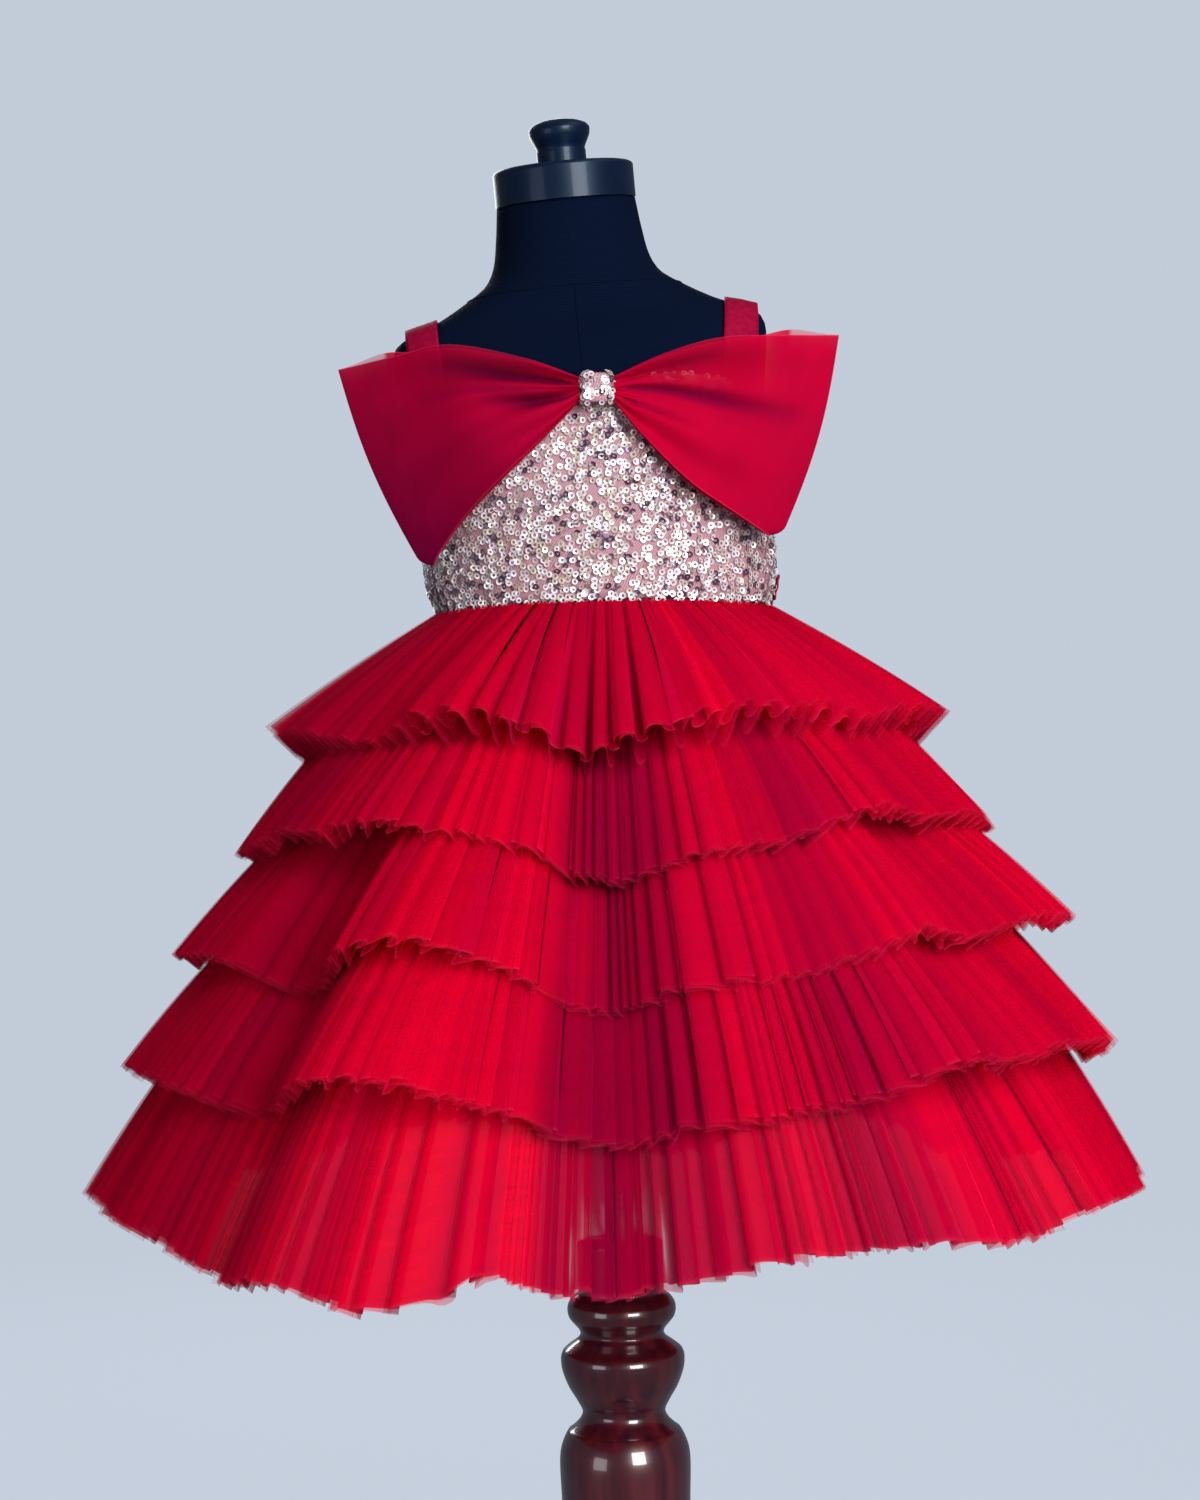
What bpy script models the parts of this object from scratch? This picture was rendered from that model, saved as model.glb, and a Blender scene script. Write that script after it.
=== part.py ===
"""A net frock with a sequinned bodice, a bow and pleated tiers, on a limbless dress form and a turned stand.

Metres, +Z up. The origin is the middle of the stand's underside and the frock's front faces -Y.
Azimuths are degrees round the post from the front, positive towards +X.
"""

import math
from collections import namedtuple

import bpy
from mathutils import Matrix, Vector

# Cloth
WALL = 0.0012
SEAM = 0.0003
EASE = 0.0006

# Heights of the whole
WAIST_HEIGHT = 0.889
POST_TOP = 0.531
BASE_HEIGHT = 0.028
BASE_RADIUS = 0.175

# The form leans to -X about the middle of its waist
LEAN = math.radians(4.0)
LEAN_EASE = 0.05

TorsoSection = namedtuple("TorsoSection", "rise half_width half_depth squareness")
TORSO = (
    TorsoSection(-0.150, 0.0780, 0.0580, 2.1),
    TorsoSection(-0.142, 0.0900, 0.0690, 2.1),
    TorsoSection(-0.115, 0.0990, 0.0780, 2.1),
    TorsoSection(-0.070, 0.1010, 0.0810, 2.1),
    TorsoSection(-0.030, 0.0965, 0.0765, 2.1),
    TorsoSection(0.000, 0.0929, 0.0735, 2.1),
    TorsoSection(0.018, 0.0972, 0.0760, 2.1),
    TorsoSection(0.045, 0.0975, 0.0790, 2.2),
    TorsoSection(0.080, 0.0990, 0.0810, 2.4),
    TorsoSection(0.115, 0.1025, 0.0770, 2.7),
    TorsoSection(0.140, 0.1060, 0.0660, 3.0),
    TorsoSection(0.154, 0.1068, 0.0560, 3.0),
    TorsoSection(0.161, 0.1025, 0.0510, 2.8),
    TorsoSection(0.170, 0.0830, 0.0480, 2.5),
    TorsoSection(0.180, 0.0660, 0.0465, 2.2),
    TorsoSection(0.190, 0.0520, 0.0450, 2.0),
    TorsoSection(0.201, 0.0455, 0.0425, 2.0),
    TorsoSection(0.218, 0.0422, 0.0400, 2.0),
    TorsoSection(0.2365, 0.0400, 0.0385, 2.0),
)
TORSO_SIDES = 40
TORSO_STEP = 0.022

# The neck's top, its cap and the knob tilt forward
NECK_TILT = math.radians(10.0)
NECK_TILT_START = 0.201
CAP_RADIUS = 0.0405
CAP_HEIGHT = 0.0205
CAP_EDGE = 0.002
KNOB_RADIUS = 0.0176
KNOB_BASE_RADIUS = 0.0142

# Bodice
BODICE_ROWS = 7
BODICE_FRONT_COLUMNS = 20
BODICE_BACK_COLUMNS = 10
NECKLINE_RISE = 0.119
ARMHOLE_RISE = 0.098
BACK_RISE = 0.108
SEAM_ANGLE = SEAM / 0.09

# Straps
StrapPlace = namedtuple("StrapPlace", "name side foot_offset top_offset")
STRAPS = (
    StrapPlace("strap_left", -1, 0.0845, 0.0885),
    StrapPlace("strap_right", 1, 0.0845, 0.0940),
)
STRAP_WIDTH = 0.0180
STRAP_CENTRE_RISE = 0.095
STRAP_CLEAR = EASE + WALL / 2 + 0.0004
STRAP_FLATNESS = 0.4
STRAP_STEPS = 18

# Ties round the back of the waist, the left one hidden for a little way behind its seam
SASH_LEFT_START = math.radians(8.0)
SASH_LOW_SHARE = 0.20
SASH_HIGH_SHARE = 0.90
SASH_PROUD = WALL + SEAM + 0.0001

# Bow: stations from the knot to the outer fold of each loop
BowStation = namedtuple("BowStation", "share top_x top_z bottom_x bottom_z depth gap")
BOW_LEFT = (
    BowStation(0.00, -0.0107, 1.0068, -0.0107, 0.9945, 0.0895, 0.0040),
    BowStation(0.25, -0.0402, 1.0176, -0.0299, 0.9757, 0.0888, 0.0090),
    BowStation(0.50, -0.0803, 1.0263, -0.0527, 0.9551, 0.0850, 0.0130),
    BowStation(0.75, -0.1107, 1.0235, -0.0757, 0.9338, 0.0725, 0.0120),
    BowStation(1.00, -0.1433, 1.0201, -0.0976, 0.9070, 0.0600, 0.0060),
)
BOW_RIGHT = (
    BowStation(0.00, 0.0077, 1.0068, 0.0077, 0.9935, 0.0895, 0.0040),
    BowStation(0.25, 0.0362, 1.0185, 0.0238, 0.9734, 0.0888, 0.0090),
    BowStation(0.50, 0.0658, 1.0266, 0.0475, 0.9493, 0.0850, 0.0130),
    BowStation(0.75, 0.0988, 1.0299, 0.0734, 0.9328, 0.0725, 0.0120),
    BowStation(1.00, 0.1324, 1.0326, 0.0965, 0.9192, 0.0600, 0.0060),
)
BOW_BULGE = 0.005
BOW_WAVES = 3
BOW_FRONT_PHASE = 0.6
BOW_BACK_PHASE = 2.2
BOW_WAVE_DEPTH = 0.0022
BOW_FLAT_END = 0.12
BOW_ROWS = 20
BOW_COLUMNS = 14
KNOT_WIDTH = 0.0176
KNOT_HEIGHT = 0.0155
KNOT_DEPTH = 0.0145
KNOT_CENTRE = Vector((-0.0015, -0.0881, 1.0008))
KNOT_SIDES = 20
KNOT_ROUNDNESS = 0.5
KnotRing = namedtuple("KnotRing", "height share")
KNOT_RINGS = (
    KnotRing(-0.5, 0.86),
    KnotRing(-0.4, 1.00),
    KnotRing(0.0, 0.94),
    KnotRing(0.4, 1.00),
    KnotRing(0.5, 0.86),
)

# Skirt
PLEATS = 37
PLEAT_PROFILE = (-1.0, 1.0, 1.0)
COLUMNS_PER_PLEAT = len(PLEAT_PROFILE)
SKIRT_COLUMNS = PLEATS * COLUMNS_PER_PLEAT
PLEAT_GROWTH = 0.8
PLEAT_UNEVENNESS = 0.15
PLEAT_UNEVEN_STEP = 1.7
STRIP_BEND = math.radians(10.0)
STRIP_ROWS = 3
UNDERSKIRT_INSET = WALL + SEAM + 0.00005
UNDERSKIRT_END = 0.004

Tier = namedtuple(
    "Tier", "half_width half_depth side_height front_height strip tuck_in tuck_down pleat_depth pleat_shift"
)
TIERS = (
    Tier(0.0965, 0.0785, 0.8880, 0.8880, 0.114, 0.000, 0.000, 0.006, 0.5),
    Tier(0.1311, 0.1020, 0.8515, 0.8470, 0.126, 0.004, 0.002, 0.006, -0.5),
    Tier(0.1580, 0.1350, 0.8025, 0.7970, 0.139, 0.033, 0.011, 0.006, -0.5),
    Tier(0.1880, 0.1720, 0.7500, 0.7425, 0.144, 0.042, 0.015, 0.006, -0.5),
    Tier(0.1965, 0.1760, 0.7240, 0.7150, 0.184, 0.035, 0.012, 0.006, -0.5),
)

# The skirt's large folds: how far the sewing lines tuck in, each tier's slope below level, and added length
Fold = namedtuple("Fold", "azimuth tuck slope_1 slope_2 slope_3 slope_4 slope_5 longer")
FOLDS = (
    Fold(-158, 0.0, 40, 44, 41, 44, 53, 0.000),
    Fold(-128, 0.4, 44, 50, 50, 53, 59, 0.000),
    Fold(-108, 0.2, 40, 46, 43, 46, 56, 0.000),
    Fold(-90, 0.3, 41, 50, 47, 48, 56, 0.000),
    Fold(-68, 0.3, 40, 49, 45, 46, 53, 0.000),
    Fold(-57, 0.3, 43, 45, 45, 47, 55, 0.002),
    Fold(-44, 0.5, 45, 42, 53, 54, 56, 0.014),
    Fold(-30, 0.0, 39, 39, 41, 41, 52, 0.025),
    Fold(-22, 0.0, 38, 42, 38, 41, 54, 0.018),
    Fold(-16, 0.0, 40, 45, 42, 47, 55, 0.004),
    Fold(-10, 0.5, 46, 51, 51, 53, 59, 0.000),
    Fold(-4, 0.9, 53, 58, 54, 54, 60, 0.000),
    Fold(1, 1.0, 49, 61, 55, 54, 60, 0.000),
    Fold(7, 0.6, 43, 56, 52, 53, 58, 0.000),
    Fold(16, 0.15, 40, 50, 51, 54, 55, 0.000),
    Fold(27, 0.1, 38, 46, 49, 49, 54, 0.000),
    Fold(36, 0.0, 38, 38, 40, 41, 57, 0.002),
    Fold(46, 0.4, 41, 42, 41, 42, 55, 0.004),
    Fold(60, 0.1, 37, 43, 39, 43, 54, 0.000),
    Fold(76, 0.1, 39, 47, 43, 51, 58, 0.000),
    Fold(100, 0.2, 41, 49, 44, 48, 58, 0.000),
    Fold(125, 0.5, 45, 52, 52, 55, 60, 0.000),
    Fold(150, 0.0, 39, 43, 42, 44, 53, 0.000),
    Fold(172, 0.6, 45, 54, 52, 55, 60, 0.000),
)

# Turned parts: radius at each height
Turn = namedtuple("Turn", "height radius")
POST = (
    Turn(0.5310, 0.0225),
    Turn(0.5300, 0.0243),
    Turn(0.5030, 0.0243),
    Turn(0.4995, 0.0280),
    Turn(0.4960, 0.0303),
    Turn(0.4925, 0.0308),
    Turn(0.4885, 0.0298),
    Turn(0.4850, 0.0270),
    Turn(0.4820, 0.0245),
    Turn(0.4794, 0.0236),
    Turn(0.4765, 0.0252),
    Turn(0.4730, 0.0300),
    Turn(0.4697, 0.0338),
    Turn(0.4655, 0.0351),
    Turn(0.4590, 0.0344),
    Turn(0.4500, 0.0310),
    Turn(0.4420, 0.0263),
    Turn(0.4354, 0.0234),
    Turn(0.4310, 0.0252),
    Turn(0.4262, 0.0300),
    Turn(0.4250, 0.0318),
    Turn(0.4200, 0.0345),
    Turn(0.4140, 0.0364),
    Turn(0.4060, 0.0370),
    Turn(0.3820, 0.0363),
    Turn(0.0700, 0.0363),
    Turn(0.0500, 0.0390),
    Turn(0.0350, 0.0460),
    Turn(BASE_HEIGHT + SEAM, 0.0480),
)
BASE = (
    Turn(BASE_HEIGHT, 0.0500),
    Turn(BASE_HEIGHT - 0.0010, 0.1480),
    Turn(BASE_HEIGHT - 0.0050, 0.1640),
    Turn(BASE_HEIGHT - 0.0120, 0.1720),
    Turn(BASE_HEIGHT - 0.0190, BASE_RADIUS),
    Turn(0.0020, BASE_RADIUS),
    Turn(0.0000, BASE_RADIUS - 0.0020),
)
ROD_RADIUS = 0.0080
TURNED_SIDES = 24
CAP_SIDES = 32
KNOB_SIDES = 20
ROD_SIDES = 16
BASE_SIDES = 32
SHARP_ANGLE = math.radians(40)

# Colour, roughness and metallic value of each material
Finish = namedtuple("Finish", "colour roughness metallic")
FINISHES = {
    "red_net": Finish((0.62, 0.0, 0.03, 1.0), 0.75, 0.0),
    "red_ribbon": Finish((0.55, 0.0, 0.03, 1.0), 0.5, 0.0),
    "sequin_mesh": Finish((0.75, 0.6, 0.6, 1.0), 0.35, 0.3),
    "form_jersey": Finish((0.006, 0.008, 0.02, 1.0), 0.8, 0.0),
    "cap_lacquer": Finish((0.004, 0.012, 0.016, 1.0), 0.25, 0.0),
    "rod_metal": Finish((0.35, 0.25, 0.18, 1.0), 0.4, 0.9),
    "mahogany": Finish((0.09, 0.012, 0.012, 1.0), 0.2, 0.0),
}


def clear_scene():
    for old in list(bpy.data.objects):
        bpy.data.objects.remove(old, do_unlink=True)


def material(name):
    found = bpy.data.materials.get(name)
    if found:
        return found
    finish = FINISHES[name]
    made = bpy.data.materials.new(name)
    made.use_nodes = True
    shader = made.node_tree.nodes["Principled BSDF"]
    shader.inputs["Base Color"].default_value = finish.colour
    shader.inputs["Roughness"].default_value = finish.roughness
    shader.inputs["Metallic"].default_value = finish.metallic
    return made


def add_object(name, points, faces, finish):
    mesh = bpy.data.meshes.new(name)
    mesh.from_pydata([tuple(point) for point in points], [], faces)
    mesh.shade_smooth()
    mesh.set_sharp_from_angle(angle=SHARP_ANGLE)
    mesh.materials.append(material(finish))
    made = bpy.data.objects.new(name, mesh)
    bpy.context.scene.collection.objects.link(made)
    return made


def interpolate(rows, at, column, period=None):
    """A smooth curve through one column of a table, read at a place along its first column."""
    places = [row[0] for row in rows]
    values = [getattr(row, column) for row in rows]
    if period:
        places = [places[-1] - period] + places + [places[0] + period, places[1] + period]
        values = [values[-1]] + values + [values[0], values[1]]
        at = (at - places[1]) % period + places[1]
    at = min(max(at, places[0]), places[-1])
    low = max(i for i, place in enumerate(places[:-1]) if place <= at)

    def tangent(i):
        before = max(i - 1, 0)
        after = min(i + 1, len(places) - 1)
        return (values[after] - values[before]) / (places[after] - places[before])

    span = places[low + 1] - places[low]
    t = (at - places[low]) / span
    start = (1 + 2 * t) * (1 - t) ** 2 * values[low] + t * (1 - t) ** 2 * span * tangent(low)
    end = t * t * (3 - 2 * t) * values[low + 1] + t * t * (t - 1) * span * tangent(low + 1)
    return start + end


def loft(name, rings, finish):
    """A solid through closed rings of points, capped at both ends."""
    sides = len(rings[0])
    points = [point for ring in rings for point in ring]
    faces = [tuple(range(sides))]
    for row in range(len(rings) - 1):
        for side in range(sides):
            after = (side + 1) % sides
            faces.append(
                (row * sides + after, row * sides + side, (row + 1) * sides + side, (row + 1) * sides + after)
            )
    faces.append(tuple(reversed(range(len(points) - sides, len(points)))))
    return add_object(name, points, faces, finish)


def turned(name, profile, finish, sides=TURNED_SIDES):
    """A turned solid: its profile runs from the top down."""
    rings = []
    for turn in reversed(profile):
        ring = []
        for side in range(sides):
            angle = 2 * math.pi * side / sides
            ring.append(Vector((turn.radius * math.cos(angle), turn.radius * math.sin(angle), turn.height)))
        rings.append(list(reversed(ring)))
    return loft(name, rings, finish)


def cloth(name, rows, finish, closed=False):
    """A cloth panel through rows of points, each quad split on its shorter diagonal, then given its wall."""
    width = len(rows[0])
    points = [point for row in rows for point in row]
    faces = []
    for row in range(len(rows) - 1):
        for column in range(width if closed else width - 1):
            after = (column + 1) % width
            a, b = row * width + column, row * width + after
            c, d = (row + 1) * width + after, (row + 1) * width + column
            if (points[a] - points[c]).length < (points[b] - points[d]).length:
                faces += [(a, c, b), (a, d, c)]
            else:
                faces += [(a, d, b), (b, d, c)]
    solidify = add_object(name, points, faces, finish).modifiers.new("wall", "SOLIDIFY")
    solidify.thickness = WALL
    solidify.offset = 0.0
    solidify.use_even_offset = True


def torso_column(rise, column):
    return interpolate(TORSO, rise, column)


def torso_frame(rise):
    """The middle and tilt of the torso's section at this rise above the waist."""
    lean = LEAN * min(max(rise / LEAN_EASE, 0.0), 1.0)
    nod = NECK_TILT * max(rise - NECK_TILT_START, 0.0) / (TORSO[-1].rise - NECK_TILT_START)
    along = max(rise, 0.0)
    middle = Vector((-along * math.sin(LEAN), 0.0, WAIST_HEIGHT + rise - along * (1 - math.cos(LEAN))))
    return middle, Matrix.Rotation(-lean, 3, "Y") @ Matrix.Rotation(nod, 3, "X")


def torso_point(rise, angle, proud=0.0):
    """A point on the torso, angle in radians from the front towards +X, moved out by proud."""
    power = 2 / torso_column(rise, "squareness")
    across, ahead = math.sin(angle), math.cos(angle)
    half_width = torso_column(rise, "half_width") + proud
    half_depth = torso_column(rise, "half_depth") + proud
    x = half_width * math.copysign(abs(across) ** power, across)
    y = -half_depth * math.copysign(abs(ahead) ** power, ahead)
    middle, turn = torso_frame(rise)
    return middle + turn @ Vector((x, y, 0.0))


def make_torso():
    rises = [TORSO[0].rise]
    for section in TORSO[1:]:
        parts = max(1, round((section.rise - rises[-1]) / TORSO_STEP))
        start = rises[-1]
        rises += [start + (section.rise - start) * part / parts for part in range(1, parts + 1)]
    rings = []
    for rise in rises:
        ring = [torso_point(rise, 2 * math.pi * side / TORSO_SIDES) for side in range(TORSO_SIDES)]
        rings.append(list(reversed(ring)))
    loft("form_torso", rings, "form_jersey")


def place_on_neck(made, above):
    """Puts a turned piece on the neck's top, this far above it."""
    middle, turn = torso_frame(TORSO[-1].rise)
    made.location = middle + turn @ Vector((0.0, 0.0, above))
    made.rotation_euler = turn.to_euler()


def make_neck_cap():
    profile = (
        Turn(CAP_HEIGHT, CAP_RADIUS - CAP_EDGE),
        Turn(CAP_HEIGHT - 0.4 * CAP_EDGE, CAP_RADIUS - 0.4 * CAP_EDGE),
        Turn(CAP_HEIGHT - CAP_EDGE, CAP_RADIUS),
        Turn(0.0, CAP_RADIUS),
    )
    cap = turned("form_neck_cap", profile, "cap_lacquer", sides=CAP_SIDES)
    place_on_neck(cap, SEAM)


def make_knob():
    profile = (
        Turn(0.0262, 0.0060),
        Turn(0.0254, 0.0110),
        Turn(0.0234, 0.0155),
        Turn(0.0205, KNOB_RADIUS),
        Turn(0.0170, 0.0171),
        Turn(0.0120, 0.0148),
        Turn(0.0095, 0.0138),
        Turn(0.0080, KNOB_BASE_RADIUS),
        Turn(0.0000, KNOB_BASE_RADIUS),
    )
    knob = turned("form_knob", profile, "cap_lacquer", sides=KNOB_SIDES)
    place_on_neck(knob, 2 * SEAM + CAP_HEIGHT)


def make_stand():
    rod_top = WAIST_HEIGHT + TORSO[0].rise - SEAM
    rod = turned(
        "stand_rod",
        (Turn(rod_top - POST_TOP - SEAM, ROD_RADIUS), Turn(0.0, ROD_RADIUS)),
        "rod_metal",
        sides=ROD_SIDES,
    )
    rod.location.z = POST_TOP + SEAM
    turned("stand_post", POST, "mahogany")
    turned("stand_base", BASE, "mahogany", sides=BASE_SIDES)


def bodice_top(angle):
    """How high the bodice reaches, highest at the middle front and lowest under the arms."""
    side = math.sin(angle) ** 4
    middle = NECKLINE_RISE if math.cos(angle) > 0 else BACK_RISE
    return middle + (ARMHOLE_RISE - middle) * side


def bodice_rows(start, end, columns, proud=0.0):
    rows = []
    for row in range(BODICE_ROWS):
        points = []
        for column in range(columns + 1):
            angle = start + (end - start) * column / columns
            rise = SEAM + (bodice_top(angle) - SEAM) * row / (BODICE_ROWS - 1)
            points.append(torso_point(rise, angle, EASE + WALL / 2 + proud))
        rows.append(points)
    return rows


def make_bodice():
    side, back = math.pi / 2, math.pi
    front = bodice_rows(-side + SEAM_ANGLE / 2, side - SEAM_ANGLE / 2, BODICE_FRONT_COLUMNS)
    left = bodice_rows(-back + SEAM_ANGLE / 2, -side - SEAM_ANGLE / 2, BODICE_BACK_COLUMNS)
    right = bodice_rows(side + SEAM_ANGLE / 2, back - SEAM_ANGLE / 2, BODICE_BACK_COLUMNS)
    cloth("bodice_front", front, "sequin_mesh")
    cloth("bodice_back_left", left, "sequin_mesh")
    cloth("bodice_back_right", right, "sequin_mesh")


def make_sashes():
    """Flat ties over the back panels, made from the panels' lowest two rows of points, moved out."""
    for name, side, later in (("sash_left", -1, SASH_LEFT_START), ("sash_right", 1, 0.0)):
        start, end = side * (math.pi / 2 + SEAM_ANGLE + later), side * (math.pi - SEAM_ANGLE)
        low, high = bodice_rows(start, end, BODICE_BACK_COLUMNS, SASH_PROUD)[:2]
        rows = []
        for share in (SASH_LOW_SHARE, SASH_HIGH_SHARE):
            row = [below.lerp(above, share) for below, above in zip(low, high)]
            rows.append(row if side > 0 else list(reversed(row)))
        cloth(name, rows, "red_ribbon")


def inside_torso(across, ahead, rise):
    power = torso_column(rise, "squareness")
    width_share = abs(across) / torso_column(rise, "half_width")
    depth_share = abs(ahead) / torso_column(rise, "half_depth")
    return width_share**power + depth_share**power < 1


def strap_foot(across, ahead_sign):
    """The bearing, seen from the side, of the bodice's top edge this far from the middle."""
    rise = BACK_RISE
    for _ in range(8):
        power = torso_column(rise, "squareness") / 2
        across_share = min(across / torso_column(rise, "half_width"), 0.999)
        angle = math.asin(across_share**power)
        rise = bodice_top(angle if ahead_sign > 0 else math.pi - angle) + 2 * SEAM
    ahead = torso_column(rise, "half_depth") * math.cos(angle) ** (1 / power)
    return math.atan2(rise - STRAP_CENTRE_RISE, ahead_sign * ahead)


def torso_reach(across, bearing):
    """How far the torso reaches from the straps' centre, at this bearing in a plane across the shoulder."""
    low, high = 0.0, 0.15
    for _ in range(30):
        middle = (low + high) / 2
        ahead, up = middle * math.cos(bearing), middle * math.sin(bearing)
        if inside_torso(across, ahead, STRAP_CENTRE_RISE + up):
            low = middle
        else:
            high = middle
    return low


def strap_row(strap, turn):
    """Points across a strap, turn from 0 at the front of the bodice to 1 at the back; it lies nearly flat."""
    centre = strap.foot_offset + (strap.top_offset - strap.foot_offset) * math.sin(math.pi * turn)
    edges = [centre + strap.side * edge * STRAP_WIDTH for edge in (-0.5, 0.0, 0.5)]
    feet = [strap.foot_offset + strap.side * edge * STRAP_WIDTH for edge in (-0.5, 0.0, 0.5)]
    bearings = []
    for foot in feet:
        front, back = strap_foot(foot, 1), strap_foot(foot, -1)
        bearings.append(front + (back - front) * turn)
    reaches = [torso_reach(across, bearing) for across, bearing in zip(edges, bearings)]
    row = []
    for across, bearing, own in zip(edges, bearings, reaches):
        reach = own + (max(reaches) - own) * STRAP_FLATNESS + STRAP_CLEAR
        ahead, up = reach * math.cos(bearing), reach * math.sin(bearing)
        middle, tilt = torso_frame(STRAP_CENTRE_RISE + up)
        row.append(middle + tilt @ Vector((strap.side * across, -ahead, 0.0)))
    return row


def make_straps():
    for strap in STRAPS:
        rows = [strap_row(strap, step / STRAP_STEPS) for step in range(STRAP_STEPS + 1)]
        cloth(strap.name, rows, "red_ribbon")


def bow_point(stations, out, down, layer):
    """A point of a bow loop: out from knot 0 to fold 1, down from 0 to 1, layer from back -1 to front 1."""
    side = math.copysign(1.0, stations[-1].top_x)
    value = {name: interpolate(stations, out, name) for name in BowStation._fields[1:]}
    x = value["top_x"] + (value["bottom_x"] - value["top_x"]) * down
    z = value["top_z"] + (value["bottom_z"] - value["top_z"]) * down
    x += side * BOW_BULGE * out * math.sin(math.pi * down)
    phase = BOW_FRONT_PHASE if layer > 0 else BOW_BACK_PHASE
    wave = BOW_WAVE_DEPTH * math.sin(2 * math.pi * BOW_WAVES * down + phase)
    fade = math.sqrt(math.sin(math.pi * (out + BOW_FLAT_END))) if out < 1 - BOW_FLAT_END else 0.0
    y = -value["depth"] - layer * value["gap"] / 2 - wave * fade * min(1.0, abs(layer) * 2)
    return Vector((x, y, z))


def make_bow_loops():
    for name, stations in (("bow_loop_left", BOW_LEFT), ("bow_loop_right", BOW_RIGHT)):
        rows = []
        for row in range(BOW_ROWS + 1):
            turn = 2 * row / BOW_ROWS - 1
            out = 1 - turn * turn
            layer = math.sin(math.pi / 2 * turn)
            rows.append(
                [bow_point(stations, out, column / BOW_COLUMNS, layer) for column in range(BOW_COLUMNS + 1)]
            )
        cloth(name, rows, "red_net")


def make_knot():
    """A band drawn round the gathered middle, as a solid with rounded corners."""
    rings = []
    for level in KNOT_RINGS:
        ring = []
        for side in range(KNOT_SIDES):
            across, ahead = (turn(2 * math.pi * side / KNOT_SIDES) for turn in (math.cos, math.sin))
            x = KNOT_WIDTH / 2 * level.share * math.copysign(abs(across) ** KNOT_ROUNDNESS, across)
            y = KNOT_DEPTH / 2 * level.share * math.copysign(abs(ahead) ** KNOT_ROUNDNESS, ahead)
            ring.append(Vector((x, y, level.height * KNOT_HEIGHT)))
        rings.append(list(reversed(ring)))
    knot = loft("bow_knot", rings, "sequin_mesh")
    knot.location = KNOT_CENTRE


def outward(azimuth):
    angle = math.radians(azimuth)
    return Vector((math.sin(angle), -math.cos(angle), 0.0))


def fold_value(azimuth, column):
    return interpolate(FOLDS, azimuth, column, period=360)


def sewing_point(tier, azimuth):
    """Where a tier's top edge is sewn, at this azimuth."""
    angle = math.radians(azimuth)
    tuck = fold_value(azimuth, "tuck")
    place = Vector((tier.half_width * math.sin(angle), -tier.half_depth * math.cos(angle), 0.0))
    place -= outward(azimuth) * tier.tuck_in * tuck
    height = tier.side_height + (tier.front_height - tier.side_height) * math.cos(angle) ** 2
    place.z = height - tier.tuck_down * tuck
    return place


def strip_point(number, azimuth, along, lift):
    """A point of a tier's strip, along 0 at its sewn edge to 1 at its hem, lifted off its middle surface."""
    tier = TIERS[number - 1]
    slope = math.radians(fold_value(azimuth, f"slope_{number}"))
    length = tier.strip
    if number == len(TIERS):
        length += fold_value(azimuth, "longer")
    first = slope - STRIP_BEND / 2
    here = first + STRIP_BEND * along
    run = length * (math.sin(here) - math.sin(first)) / STRIP_BEND
    drop = length * (math.cos(first) - math.cos(here)) / STRIP_BEND
    ahead = outward(azimuth)
    place = sewing_point(tier, azimuth) + ahead * run - Vector((0.0, 0.0, drop))
    return place + (ahead * math.sin(here) + Vector((0.0, 0.0, math.cos(here)))) * lift


def column_azimuth(column):
    return 360 * column / SKIRT_COLUMNS - 180


def make_tiers():
    for number, tier in enumerate(TIERS, start=1):
        rows = []
        for row in range(STRIP_ROWS):
            along = row / (STRIP_ROWS - 1)
            points = []
            for column in range(SKIRT_COLUMNS):
                pleat, part = divmod(column, COLUMNS_PER_PLEAT)
                uneven = 1 - PLEAT_UNEVENNESS * (1 - math.sin(PLEAT_UNEVEN_STEP * pleat))
                depth = tier.pleat_depth * uneven * along**PLEAT_GROWTH
                lift = depth * (PLEAT_PROFILE[part] + tier.pleat_shift)
                points.append(strip_point(number, column_azimuth(column), along, lift))
            rows.append(points)
        cloth(f"tier_{number}", rows, "red_net", closed=True)


def make_skirt_base():
    """The underskirt: inside every sewing line by a wall and a gap, and a little longer than the last line."""
    lines = []
    for tier in TIERS:
        lines.append([sewing_point(tier, column_azimuth(column)) for column in range(SKIRT_COLUMNS)])
    rows = []
    for number, line in enumerate(lines):
        upper, lower = lines[max(number - 1, 0)], lines[min(number + 1, len(lines) - 1)]
        row = []
        for column, point in enumerate(line):
            along = line[(column + 1) % SKIRT_COLUMNS] - line[column - 1]
            down = lower[column] - upper[column]
            row.append(point - down.cross(along).normalized() * UNDERSKIRT_INSET)
        rows.append(row)
    last, before = rows[-1], rows[-2]
    rows[-1] = [low + (low - high).normalized() * UNDERSKIRT_END for low, high in zip(last, before)]
    cloth("skirt_base", rows, "red_net", closed=True)


clear_scene()
make_torso()
make_neck_cap()
make_knob()
make_stand()
make_bodice()
make_straps()
make_sashes()
make_bow_loops()
make_knot()
make_skirt_base()
make_tiers()
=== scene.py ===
"""A net frock with five pleated tiers, worn on a limbless dress form with a turned stand."""

import math
from collections import namedtuple

import bpy
import numpy as np
from mathutils import Matrix, Vector


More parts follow.
